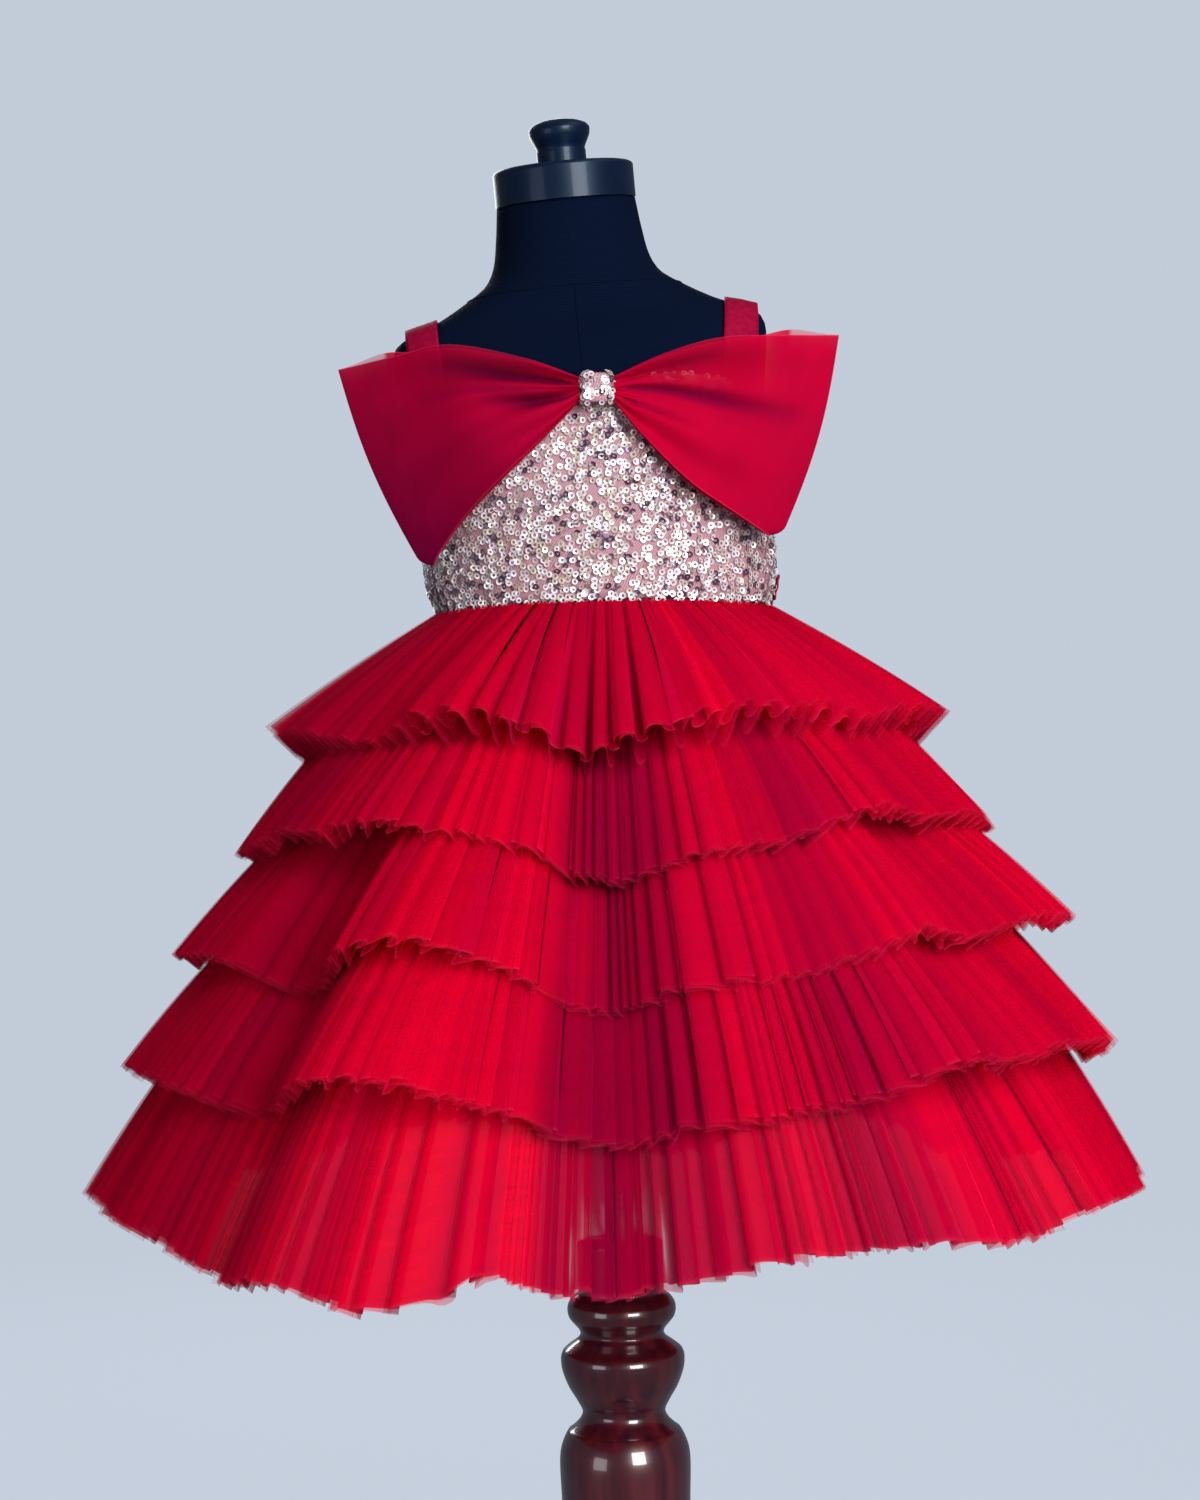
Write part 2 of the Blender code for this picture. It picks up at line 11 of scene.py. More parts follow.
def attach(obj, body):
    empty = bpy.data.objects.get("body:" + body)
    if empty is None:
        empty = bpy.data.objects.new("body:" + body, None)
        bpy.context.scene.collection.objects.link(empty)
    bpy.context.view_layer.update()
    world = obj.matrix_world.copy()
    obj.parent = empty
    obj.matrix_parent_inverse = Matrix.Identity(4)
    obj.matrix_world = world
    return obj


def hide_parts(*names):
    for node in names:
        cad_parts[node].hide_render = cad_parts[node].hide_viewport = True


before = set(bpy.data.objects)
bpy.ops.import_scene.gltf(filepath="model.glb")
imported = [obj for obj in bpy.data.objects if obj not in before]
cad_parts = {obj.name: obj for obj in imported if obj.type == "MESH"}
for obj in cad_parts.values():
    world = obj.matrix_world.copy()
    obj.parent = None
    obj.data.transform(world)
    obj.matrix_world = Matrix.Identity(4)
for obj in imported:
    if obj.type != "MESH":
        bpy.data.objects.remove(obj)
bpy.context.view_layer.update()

BODY = "root"


def table(columns, *rows):
    """A table with named columns."""
    kind = namedtuple("Row", columns)
    return tuple(kind(*row) for row in rows)


# Cloth of the solids
WALL = 0.0012
SEAM = 0.0003
EASE = 0.0006

# Heights of the whole
WAIST_HEIGHT = 0.889
POST_TOP = 0.531
BASE_HEIGHT = 0.028
BASE_RADIUS = 0.175

# The form leans to -X about the middle of its waist, and its neck nods forward
LEAN = math.radians(4.0)
LEAN_EASE = 0.05
NECK_TILT = math.radians(10.0)
NECK_TILT_START = 0.201

# The torso's sections, by their rise above the waist
TORSO_ROWS = 90
TORSO = table(
    "rise half_width half_depth squareness",
    (-0.150, 0.0780, 0.0580, 2.1),
    (-0.142, 0.0900, 0.0690, 2.1),
    (-0.115, 0.0990, 0.0780, 2.1),
    (-0.070, 0.1010, 0.0810, 2.1),
    (-0.030, 0.0965, 0.0765, 2.1),
    (0.000, 0.0929, 0.0735, 2.1),
    (0.018, 0.0972, 0.0760, 2.1),
    (0.045, 0.0975, 0.0790, 2.2),
    (0.080, 0.0990, 0.0810, 2.4),
    (0.115, 0.1025, 0.0770, 2.7),
    (0.140, 0.1060, 0.0660, 3.0),
    (0.154, 0.1068, 0.0560, 3.0),
    (0.161, 0.1025, 0.0510, 2.8),
    (0.170, 0.0830, 0.0480, 2.5),
    (0.180, 0.0660, 0.0465, 2.2),
    (0.190, 0.0520, 0.0450, 2.0),
    (0.201, 0.0455, 0.0425, 2.0),
    (0.218, 0.0422, 0.0400, 2.0),
    (0.2365, 0.0400, 0.0385, 2.0),
)
NECK_SEAM_RISE = 0.183
NECK_SEAM_DIP = 0.004
SEAM_PROUD = 0.0002
SEAM_RADIUS = 0.00035
SEAM_SIDES = 6

# Bodice
NECKLINE_RISE = 0.119
ARMHOLE_RISE = 0.098
BACK_RISE = 0.108
SEAM_ANGLE = SEAM / 0.09
PANEL_ROWS = 24

# Sequins
SEQUIN_RADIUS = 0.00185
SEQUIN_HOLE = 0.0008
SEQUIN_CUP = 0.00016
SEQUIN_SIDES = 10
SEQUIN_SPACING = 0.0034
SEQUIN_ROW_SHARE = 0.86
SEQUIN_STRAY = 0.3
SEQUIN_MISSING = 0.14

# Straps, and where they meet and cross the shoulders
STRAPS = table(
    "name node side foot_offset top_offset",
    ("ribbon_left", "strap_left", -1, 0.0845, 0.0885),
    ("ribbon_right", "strap_right", 1, 0.0845, 0.0940),
)
STRAP_WIDTH = 0.0180
STRAP_CENTRE_RISE = 0.095
STRAP_CLEAR = EASE + WALL / 2 + 0.0004
STRAP_FLATNESS = 0.4
STRAP_ROWS = 49
STRAP_STITCH_SHARE = 0.42
STRAP_STITCH_RADIUS = 0.00022

# Ties
SASH_LEFT_START = math.radians(8.0)
TIES = table(
    "name node side later panel",
    ("tie_left", "sash_left", -1, SASH_LEFT_START, "back_panel_left"),
    ("tie_right", "sash_right", 1, 0.0, "back_panel_right"),
)
SASH_BOTTOM_RISE = 0.0042
SASH_TOP_RISE = 0.0165
TIE_LOOSE = 0.0014
TIE_CREASE = 0.00035
TIE_STITCH_DROP = 0.0012
TIE_STITCH_RADIUS = 0.0002

# Machine stitches, thicker in their middle
STITCH_LENGTH = 0.0022
STITCH_GAP = 0.0009
STITCH_SIDES = 5
STITCH_SHARES = (0.0, 0.15, 0.85, 1.0)
STITCH_SWELL = (0.3, 1.0, 1.0, 0.3)

# Bow: stations from the knot to the outer fold of each loop
BOW_COLUMNS = "share top_x top_z bottom_x bottom_z depth gap"
BOW_LEFT = table(
    BOW_COLUMNS,
    (0.00, -0.0107, 1.0068, -0.0107, 0.9945, 0.0895, 0.0040),
    (0.25, -0.0402, 1.0176, -0.0299, 0.9757, 0.0888, 0.0090),
    (0.50, -0.0803, 1.0263, -0.0527, 0.9551, 0.0850, 0.0130),
    (0.75, -0.1107, 1.0235, -0.0757, 0.9338, 0.0725, 0.0120),
    (1.00, -0.1433, 1.0201, -0.0976, 0.9070, 0.0600, 0.0060),
)
BOW_RIGHT = table(
    BOW_COLUMNS,
    (0.00, 0.0077, 1.0068, 0.0077, 0.9935, 0.0895, 0.0040),
    (0.25, 0.0362, 1.0185, 0.0238, 0.9734, 0.0888, 0.0090),
    (0.50, 0.0658, 1.0266, 0.0475, 0.9493, 0.0850, 0.0130),
    (0.75, 0.0988, 1.0299, 0.0734, 0.9328, 0.0725, 0.0120),
    (1.00, 0.1324, 1.0326, 0.0965, 0.9192, 0.0600, 0.0060),
)
BOW_BULGE = 0.005
BOW_WAVES = 3
BOW_FRONT_PHASE = 0.6
BOW_BACK_PHASE = 2.2
BOW_WAVE_DEPTH = 0.0022
BOW_FLAT_END = 0.12
BOW_PEEK = 0.0045
BOW_CORNER = 0.0050
BOW_TROUGH_SHADE = 110.0
GATHERS = 5
GATHER_DEPTH = 0.0008

# Pressed creases that fan out from the knot: where down the loop they start and end, and how far out
TROUGH_COLUMNS = "start end reach width depth"
TROUGHS_LEFT = table(
    TROUGH_COLUMNS,
    (0.28, 0.16, 0.66, 0.065, 0.0052),
    (0.66, 0.44, 0.48, 0.075, 0.0050),
    (0.45, 0.30, 0.75, 0.040, 0.0020),
)
TROUGHS_RIGHT = table(
    TROUGH_COLUMNS,
    (0.42, 0.42, 1.00, 0.060, 0.0052),
    (0.22, 0.12, 0.55, 0.045, 0.0022),
    (0.72, 0.60, 0.50, 0.050, 0.0030),
)
# Each loop's fall is how much painted shade darkens it towards its outer, lower part; the left loop, turned
# from the light, takes more.
LOOPS = table(
    "name node stations troughs fall",
    ("loop_left", "bow_loop_left", BOW_LEFT, TROUGHS_LEFT, 0.62),
    ("loop_right", "bow_loop_right", BOW_RIGHT, TROUGHS_RIGHT, 0.22),
)
KNOT_WIDTH = 0.0176
KNOT_HEIGHT = 0.0155
KNOT_DEPTH = 0.0145
KNOT_CENTRE = Vector((-0.0015, -0.0881, 1.0008))
KNOT_INSET = 0.0006
KNOT_WALL = 0.001
KNOT_SQUARENESS = 0.5
KNOT_LEVELS = (-0.5, -0.4, 0.0, 0.4, 0.5)
KNOT_SWELL = (0.86, 1.0, 0.94, 1.0, 0.86)
KNOT_SEQUINS = 0.14

# Skirt: the tiers' sewing lines and strips
STRIP_BEND = math.radians(10.0)
TIERS = table(
    "half_width half_depth side_height front_height strip tuck_in tuck_down",
    (0.0965, 0.0785, 0.8880, 0.8880, 0.114, 0.000, 0.000),
    (0.1311, 0.1020, 0.8515, 0.8470, 0.126, 0.004, 0.002),
    (0.1580, 0.1350, 0.8025, 0.7970, 0.139, 0.033, 0.011),
    (0.1880, 0.1720, 0.7500, 0.7425, 0.144, 0.042, 0.015),
    (0.1965, 0.1760, 0.7240, 0.7150, 0.184, 0.035, 0.012),
)

# Large folds round the skirt: how far in each tuck goes, each tier's slope there in degrees,
# how much longer the last tier is, and how much painted shade the net gets there, deep in the folds or
# turned from the light
FOLDS = table(
    "azimuth tuck slope_1 slope_2 slope_3 slope_4 slope_5 longer shade",
    (-158, 0.0, 40, 44, 41, 44, 53, 0, 0.10),
    (-128, 0.4, 44, 50, 50, 53, 59, 0, 0.50),
    (-108, 0.2, 40, 46, 43, 46, 56, 0, 0.20),
    (-90, 0.3, 41, 50, 47, 48, 56, 0, 0.25),
    (-68, 0.3, 40, 49, 45, 46, 53, 0, 0.30),
    (-57, 0.3, 43, 45, 45, 47, 55, 0.002, 0.25),
    (-44, 0.5, 45, 42, 53, 54, 56, 0.014, 0.31),
    (-30, 0.0, 39, 39, 41, 41, 52, 0.021, 0.15),
    (-22, 0.0, 38, 42, 38, 41, 54, 0.024, 0.00),
    (-16, 0.0, 40, 45, 42, 47, 55, 0.016, 0.00),
    (-13, 0.2, 42, 46.5, 45, 48.5, 56.5, 0.002, 0.00),
    (-10, 0.35, 44, 48, 48, 50, 58, 0, 0.00),
    (-7.5, 0.7, 49, 55, 53, 53.5, 60, 0, 0.70),
    (-4, 0.9, 53, 58, 54, 54, 60, 0, 0.85),
    (1, 1.0, 49, 61, 55, 54, 60, 0, 1.00),
    (7, 0.6, 43, 56, 52, 53, 58, 0, 0.80),
    (11, 0.35, 42, 53, 51, 53, 56.5, 0, 0.35),
    (16, 0.15, 40, 50, 51, 54, 55, 0, 0.33),
    (27, 0.1, 38, 46, 49, 49, 54, 0, 0.60),
    (36, 0.0, 38, 38, 40, 41, 57, 0.002, 0.25),
    (46, 0.4, 41, 42, 41, 42, 55, 0.004, 0.35),
    (60, 0.1, 37, 43, 39, 43, 54, 0, 0.10),
    (76, 0.1, 39, 47, 43, 51, 58, 0, 0.10),
    (100, 0.2, 41, 49, 44, 48, 58, 0, 0.20),
    (125, 0.5, 45, 52, 52, 55, 60, 0, 0.60),
    (150, 0.0, 39, 43, 42, 44, 53, 0, 0.00),
    (172, 0.6, 45, 54, 52, 55, 60, 0, 0.70),
)

# Fine pleats of each tier: how many, how deep at the hem and at the seam, and how full their loops are
# The tone column is how light the tier's net is painted overall, and the last column how much of the folds'
# painted shade it takes.
PLEATING = table(
    "count columns hem_depth seam_depth growth fullness crest_share lean centre ragged spread tone tucked",
    (76, 16, 0.0185, 0.0012, 1.50, 95, 0.66, 0.12, 0.0040, 0.0012, 0.20, 0.88, 0.20),
    (132, 10, 0.0092, 0.0034, 0.90, 80, 0.72, 0.34, -0.0012, 0.0016, 0.50, 0.98, 0.56),
    (146, 10, 0.0090, 0.0034, 0.90, 80, 0.72, 0.38, -0.0012, 0.0016, 0.55, 1.00, 0.52),
    (158, 10, 0.0086, 0.0034, 0.90, 80, 0.72, 0.38, -0.0014, 0.0018, 0.60, 1.02, 0.66),
    (164, 10, 0.0082, 0.0034, 0.90, 78, 0.72, 0.34, -0.0016, 0.0022, 0.60, 1.00, 0.60),
)

# Three plies of net lie in each strip. The outer ones' pleats drift off those of the inner one.
# A ply that is less deep keeps what lies at its level in place, from its troughs at -1 to its crests at 1
PLIES = table(
    "name shorter gap stand drift level deep first_deep opacity",
    ("veil", 0.0, -0.0007, 0.0030, 0.45, 1.0, 0.35, 1.0, 0.22),
    ("outer", 0.0025, 0.0, 0.0020, 0.45, 1.0, 1.0, 1.0, 0.52),
    ("inner", 0.006, 0.0007, 0.0, 0.0, -0.3, 0.45, 0.35, 1.0),
)
STRIP_ROWS = 14
LAST_STRIP_ROWS = 18
HEM_ROW = 0.0012
LAST_FRINGE = 0.5
STRIP_SWAY = 0.0016
WOBBLE_WAVES = 7
# Painted shade in the pleats' troughs, growing towards the hem
CREST_SHADE = 0.12
NORMAL_SOFTNESS = 0.62
UNDERSKIRT_INSET = WALL + SEAM + 0.00005
UNDERSKIRT_LONGER = 0.004

# Places between the last tier's pleats where its net is thin enough to see through
SHEER = table(
    "azimuth along half_width half_length amount",
    (-5.6, 0.90, 0.28, 0.08, 0.50),
    (-4.0, 0.88, 0.55, 0.11, 0.50),
    (-2.7, 0.92, 0.28, 0.07, 0.45),
    (-1.4, 0.79, 0.24, 0.035, 0.45),
    (0.3, 0.785, 0.32, 0.045, 1.00),
    (1.6, 0.785, 0.26, 0.045, 0.90),
    (2.9, 0.785, 0.32, 0.045, 1.00),
    (4.7, 0.90, 0.28, 0.09, 0.60),
    (-33.0, 0.93, 0.35, 0.05, 0.30),
    (-52.0, 0.92, 0.45, 0.05, 0.30),
    (96.0, 0.88, 0.45, 0.06, 0.60),
    (148.0, 0.86, 0.40, 0.07, 0.60),
    (-140.0, 0.86, 0.40, 0.07, 0.60),
)

# Turned parts, from the top down
TURN = "height radius"
POST = table(
    TURN,
    (0.5310, 0.0225),
    (0.5300, 0.0243),
    (0.5030, 0.0243),
    (0.4995, 0.0280),
    (0.4960, 0.0303),
    (0.4925, 0.0308),
    (0.4885, 0.0298),
    (0.4850, 0.0270),
    (0.4820, 0.0245),
    (0.4794, 0.0236),
    (0.4765, 0.0252),
    (0.4730, 0.0300),
    (0.4697, 0.0338),
    (0.4655, 0.0351),
    (0.4590, 0.0344),
    (0.4500, 0.0310),
    (0.4420, 0.0263),
    (0.4354, 0.0234),
    (0.4310, 0.0252),
    (0.4262, 0.0300),
    (0.4250, 0.0318),
    (0.4200, 0.0345),
    (0.4140, 0.0364),
    (0.4060, 0.0370),
    (0.3820, 0.0363),
    (0.0700, 0.0363),
    (0.0500, 0.0390),
    (0.0350, 0.0460),
    (BASE_HEIGHT + SEAM, 0.0480),
)
BASE = table(
    TURN,
    (BASE_HEIGHT, 0.0500),
    (BASE_HEIGHT - 0.0010, 0.1480),
    (BASE_HEIGHT - 0.0050, 0.1640),
    (BASE_HEIGHT - 0.0120, 0.1720),
    (BASE_HEIGHT - 0.0190, BASE_RADIUS),
    (0.0020, BASE_RADIUS),
    (0.0000, BASE_RADIUS - 0.0020),
)
CAP_RADIUS = 0.0405
CAP_HEIGHT = 0.0205
CAP_EDGE = 0.002
CAP = table(
    TURN,
    (CAP_HEIGHT, CAP_RADIUS - CAP_EDGE),
    (CAP_HEIGHT - 0.4 * CAP_EDGE, CAP_RADIUS - 0.4 * CAP_EDGE),
    (CAP_HEIGHT - CAP_EDGE, CAP_RADIUS),
    (0.0, CAP_RADIUS),
)
KNOB = table(
    TURN,
    (0.0262, 0.0060),
    (0.0254, 0.0110),
    (0.0234, 0.0155),
    (0.0205, 0.0176),
    (0.0170, 0.0171),
    (0.0120, 0.0148),
    (0.0095, 0.0138),
    (0.0080, 0.0142),
    (0.0000, 0.0142),
)
ROD_RADIUS = 0.0080
ROD_TOP = WAIST_HEIGHT + TORSO[0].rise - SEAM
ROD = table(TURN, (ROD_TOP, ROD_RADIUS), (POST_TOP + SEAM, ROD_RADIUS))
ROD_SIDES = 32
LATHE_SIDES = 96
LATHE_STEP = 0.0018
LATHE_DETAIL = 0.2
SHARP_EDGE = math.radians(38)

# Net in the open, the painted shade it takes deep in the folds, and net seen along its cut edge
NET_COLOUR = (0.95, 0.0002, 0.046)
NET_SHADE = (0.16, 0.0, 0.053)
BOW_COLOUR = (0.53, 0.0002, 0.026)
BOW_SHADE = (0.05, 0.0, 0.026)
EDGE_COLOUR = (0.85, 0.06, 0.13, 1.0)
LINING_COLOUR = (0.34, 0.0005, 0.016, 1.0)

# Sequins from a few dark ones through champagne to white silver
FOIL_STOPS = (
    (0.00, (0.025, 0.014, 0.035)),
    (0.14, (0.09, 0.06, 0.10)),
    (0.19, (0.52, 0.45, 0.36)),
    (0.32, (0.66, 0.60, 0.50)),
    (0.44, (0.66, 0.50, 0.54)),
    (0.62, (0.71, 0.69, 0.70)),
    (1.00, (0.80, 0.80, 0.82)),
)

# Studio, camera and lights
STUDIO_RADIUS = 4.5
STUDIO_CURVE = 1.2
STUDIO_HEIGHT = 4.0
FLOOR_DROP = 0.0005
PHOTO_HEIGHT = 1500
FOCAL_PIXELS = 2400
SENSOR = 36.0
CAMERA_PLACE = Vector((-0.0045, -1.3714, 0.764))
CAMERA_PITCH = math.atan(80 / FOCAL_PIXELS)
CAMERA_ROLL = math.radians(1.4)
LIGHTS = table(
    "name place target size energy colour",
    ("key", (0.95, -2.05, 1.35), (0.0, 0.0, 0.85), (1.0, 1.6), 88.0, (1.0, 0.97, 0.98)),
    ("top", (0.9, -0.5, 2.6), (0.0, 0.1, 0.8), (1.4, 1.4), 5.0, (0.92, 0.96, 1.0)),
    ("behind", (-0.6, 2.6, 1.9), (0.0, 0.0, 0.8), (1.6, 1.6), 46.0, (0.92, 0.96, 1.0)),
    ("fill", (-1.3, -1.3, 0.62), (-0.15, -0.15, 0.62), (0.8, 0.8), 6.0, (0.92, 0.96, 1.0)),
)
AIR_COLOUR = (0.62, 0.70, 0.85, 1.0)
AIR_STRENGTH = 0.20


# Vectors and curves

def unit(vectors):
    """Vectors brought to length one."""
    return vectors / np.maximum(np.linalg.norm(vectors, axis=-1, keepdims=True), 1e-9)


def stacked(*columns):
    """Arrays side by side, such as x, y and z as points."""
    return np.stack(np.broadcast_arrays(*columns), axis=-1)


def circle(sides):
    angle = np.arange(sides) * 2 * math.pi / sides
    return np.cos(angle), np.sin(angle)


def revolved(radius, height, sides):
    """Rings of points round the Z axis."""
    across, ahead = circle(sides)
    return stacked(radius[:, None] * across, radius[:, None] * ahead, height[:, None])


def hump(value, middle, width, power=2):
    """A smooth hump of height one."""
    return np.exp(-(((value - middle) / width) ** power))


def share_of(value, start, span):
    """How far a value is through a span: 0 before it and 1 after it."""
    return np.clip((value - start) / span, 0.0, 1.0)


def travelled(path):
    """How far along a path each of its points is."""
    return np.concatenate([[0.0], np.cumsum(np.linalg.norm(np.diff(path, axis=0), axis=1))])


def hermite(places, values, at, period=None, monotone=False):
    """A smooth curve through values at places; monotone keeps it from overshooting."""
    places, values, at = (np.asarray(item, float) for item in (places, values, at))
    if period:
        places = np.concatenate([[places[-1] - period], places, places[:2] + period])
        values = np.concatenate([values[-1:], values, values[:2]])
        at = (at - places[1]) % period + places[1]
    at = np.clip(at, places[0], places[-1])
    chord = np.diff(values) / np.diff(places)
    inner = (values[2:] - values[:-2]) / (places[2:] - places[:-2])
    slopes = np.concatenate([chord[:1], inner, chord[-1:]])
    if monotone:
        before, after = np.concatenate([chord[:1], chord]), np.concatenate([chord, chord[-1:]])
        limit = 2.5 * np.minimum(abs(before), abs(after)) * (before * after > 0)
        slopes = np.clip(slopes, -limit, limit)
    low = np.clip(np.searchsorted(places, at, side="right") - 1, 0, len(places) - 2)
    span = places[low + 1] - places[low]
    t = (at - places[low]) / span
    start = (1 + 2 * t) * (1 - t) ** 2 * values[low] + t * (1 - t) ** 2 * span * slopes[low]
    end = t * t * (3 - 2 * t) * values[low + 1] + t * t * (t - 1) * span * slopes[low + 1]
    return start + end


def column_of(rows, at, column, period=None):
    """A table's column at other values of its first column."""
    return hermite([row[0] for row in rows], [getattr(row, column) for row in rows], at, period)


# Meshes

def finish_piece(made, finish, slot, *nodes):
    """Gives a piece its material, hides the solids it stands for, and lets it ride on the body."""
    made.data.materials.append(finish)
    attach(made, BODY)
    if nodes:
        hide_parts(*nodes)
    return made


def linked(name, data):
    made = bpy.data.objects.new(name, data)
    bpy.context.scene.collection.objects.link(made)
    return made


def mesh_object(name, points, faces, attributes=None):
    """A smooth object from arrays: points (..., 3), faces (m, 3 or 4) and per-point values by name."""
    mesh = bpy.data.meshes.new(name)
    mesh.from_pydata(np.reshape(points, (-1, 3)).tolist(), [], faces.tolist(), shade_flat=False)
    for key, values in (attributes or {}).items():
        is_vector = values.ndim == 2
        layer = mesh.attributes.new(key, "FLOAT_VECTOR" if is_vector else "FLOAT", "POINT")
        layer.data.foreach_set("vector" if is_vector else "value", values.astype(np.float32).ravel())
    mesh.validate()
    return linked(name, mesh)


def grid_faces(rows, columns, closed):
    across = np.arange(columns if closed else columns - 1)
    row, column = np.meshgrid(np.arange(rows - 1), across, indexing="ij")
    after = (column + 1) % columns
    upper, lower = row * columns, (row + 1) * columns
    return stacked(upper + column, lower + column, lower + after, upper + after).reshape(-1, 4)


def halved(quads):
    return np.concatenate([quads[:, [0, 1, 2]], quads[:, [0, 2, 3]]])


def cloth_places(points):
    """How far along and down the cloth each point of a grid is, in metres."""
    across = np.linalg.norm(np.diff(points, axis=1), axis=2)
    u = np.concatenate([np.zeros((len(points), 1)), np.cumsum(across, axis=1)], axis=1)
    down = np.linalg.norm(np.diff(points, axis=0), axis=2)
    v = np.concatenate([np.zeros((1, points.shape[1])), np.cumsum(down, axis=0)], axis=0)
    return stacked(u, v, 0.0).reshape(-1, 3)


def grid_object(name, points, closed=False, attributes=None):
    """A sheet through a grid of points (rows, columns, 3)."""
    values = {"cloth": cloth_places(points), **(attributes or {})}
    return mesh_object(name, points, grid_faces(*points.shape[:2], closed), values)


def grid_normals(points):
    """Unit normals of a closed grid: inward where its rows run down, and outward where they run up."""
    across = np.roll(points, -1, axis=1) - np.roll(points, 1, axis=1)
    return unit(np.cross(across, np.gradient(points, axis=0)))


def thicken(made, thickness):
    wall = made.modifiers.new("wall", "SOLIDIFY")
    wall.thickness = thickness
    wall.offset = 0.0
    return made


def ringed_solid(name, points):
    """A closed solid through rings of points, from the top down, with a fan over each end."""
    rows, sides = points.shape[:2]
    side = np.arange(sides)
    after = (side + 1) % sides
    last = (rows - 1) * sides
    top = stacked(rows * sides, side, after)
    bottom = stacked(rows * sides + 1, last + after, last + side)
    flat = np.concatenate([points.reshape(-1, 3), points[[0, -1]].mean(axis=1)])
    return mesh_object(name, flat, np.concatenate([halved(grid_faces(rows, sides, True)), top, bottom]))


def lathe(name, profile, finish, slot, node, sides=LATHE_SIDES, place=None):
    """A turned piece: its profile runs from the top down, rounded between its turns."""
    outline = np.array([(turn.height, turn.radius) for turn in profile])
    turns = travelled(outline)
    samples = np.unique(np.concatenate([turns, np.arange(0, min(turns[-1], LATHE_DETAIL), LATHE_STEP)]))
    height, radius = (hermite(turns, column, samples, monotone=True) for column in outline.T)
    made = ringed_solid(name, revolved(radius, height, sides))
    made.data.set_sharp_from_angle(angle=SHARP_EDGE)
    if place is not None:
        made.data.transform(place)
    return finish_piece(made, finish, slot, node)


def square_to(ahead):
    """Two unit directions square to the unit directions ahead and to each other."""
    level = np.mean(abs(ahead[..., 2])) < 0.8
    first = unit(np.cross(ahead, (0.0, 0.0, 1.0) if level else (0.0, 1.0, 0.0)))
    return first, np.cross(ahead, first)


def tube(name, path, radius, finish, slot):
    """A thin round piece along a path of points."""
    across, up = square_to(unit(np.gradient(path, axis=0)))
    cosine, sine = (values[None, :, None] for values in circle(SEAM_SIDES))
    points = path[:, None] + radius * (cosine * across[:, None] + sine * up[:, None])
    made = mesh_object(name, points, grid_faces(len(path), SEAM_SIDES, True))
    return finish_piece(made, finish, slot)


def stitches(name, line, radius, finish, slot):
    """A row of short raised stitches along a line of points."""
    along = travelled(line)
    share, swell = np.array(STITCH_SHARES), np.array(STITCH_SWELL)[:, None, None] * radius
    cosine, sine = (values[None, :, None] for values in circle(STITCH_SIDES))
    points = []
    for start in np.arange(STITCH_GAP / 2, along[-1] - STITCH_LENGTH, STITCH_LENGTH + STITCH_GAP):
        at = start + share * STITCH_LENGTH
        path = stacked(*(np.interp(at, along, column) for column in line.T))
        across, up = square_to(unit(path[-1] - path[0]))
        points.append(path[:, None] + (cosine * across + sine * up) * swell)
    offsets = np.arange(len(points))[:, None, None] * len(share) * STITCH_SIDES
    faces = grid_faces(len(share), STITCH_SIDES, True)[None] + offsets
    made = mesh_object(name, np.array(points), faces.reshape(-1, 4))
    return finish_piece(made, finish, slot)


# Materials

def new_material(name, **values):
    made = bpy.data.materials.new(name)
    made.use_nodes = True
    shader = made.node_tree.nodes["Principled BSDF"]
    for key, value in values.items():
        shader.inputs[key.replace("_", " ")].default_value = value
    return made, made.node_tree, shader


def node(tree, kind, settings=None, **inputs):
    """A shader node with its settings and inputs: a value is set, an output is linked."""
    made = tree.nodes.new(kind)
    for key, value in (settings or {}).items():
        setattr(made, key, value)
    for key, value in inputs.items():
        is_number = key[0] == "i" and key[1:].isdigit()
        socket = made.inputs[int(key[1:]) if is_number else key.replace("_", " ")]
        if isinstance(value, bpy.types.NodeSocket):
            tree.links.new(value, socket)
        else:
            socket.default_value = value
    return made


def attribute(tree, name, output="Fac"):
    return node(tree, "ShaderNodeAttribute", {"attribute_name": name}).outputs[output]


def object_place(tree):
    return node(tree, "ShaderNodeTexCoord").outputs["Object"]


def noise(tree, place, scale, detail):
    return node(tree, "ShaderNodeTexNoise", Vector=place, Scale=scale, Detail=detail).outputs["Fac"]


def ramp(tree, factor, stops):
    made = node(tree, "ShaderNodeValToRGB", Fac=factor)
    points = made.color_ramp.elements
    while len(points) < len(stops):
        points.new(0.5)
    for point, (place, colour) in zip(points, stops):
        point.position = place
        point.color = (*colour, 1.0)
    return made.outputs["Color"]


def blend_colours(tree, factor, first, second):
    return node(tree, "ShaderNodeMix", {"data_type": "RGBA"}, i0=factor, i6=first, i7=second).outputs[2]


def remap(tree, value, low, high, start, end):
    limits = {"From_Min": low, "From_Max": high, "To_Min": start, "To_Max": end}
    return node(tree, "ShaderNodeMapRange", Value=value, **limits).outputs["Result"]


def combine(tree, operation, first, second):
    return node(tree, "ShaderNodeMath", {"operation": operation}, i0=first, i1=second).outputs[0]


def mix_shaders(tree, factor, first, second):
    return node(tree, "ShaderNodeMixShader", i0=factor, i1=first.outputs[0], i2=second.outputs[0])


def paint(tree, shader, colour, height=None, strength=0.3, distance=0.0004):
    """Links a colour to the shader, and a bump where a height is given."""
    tree.links.new(colour, shader.inputs["Base Color"])
    if height is not None:
        bump = node(tree, "ShaderNodeBump", Height=height, Strength=strength, Distance=distance)
        tree.links.new(bump.outputs["Normal"], shader.inputs["Normal"])


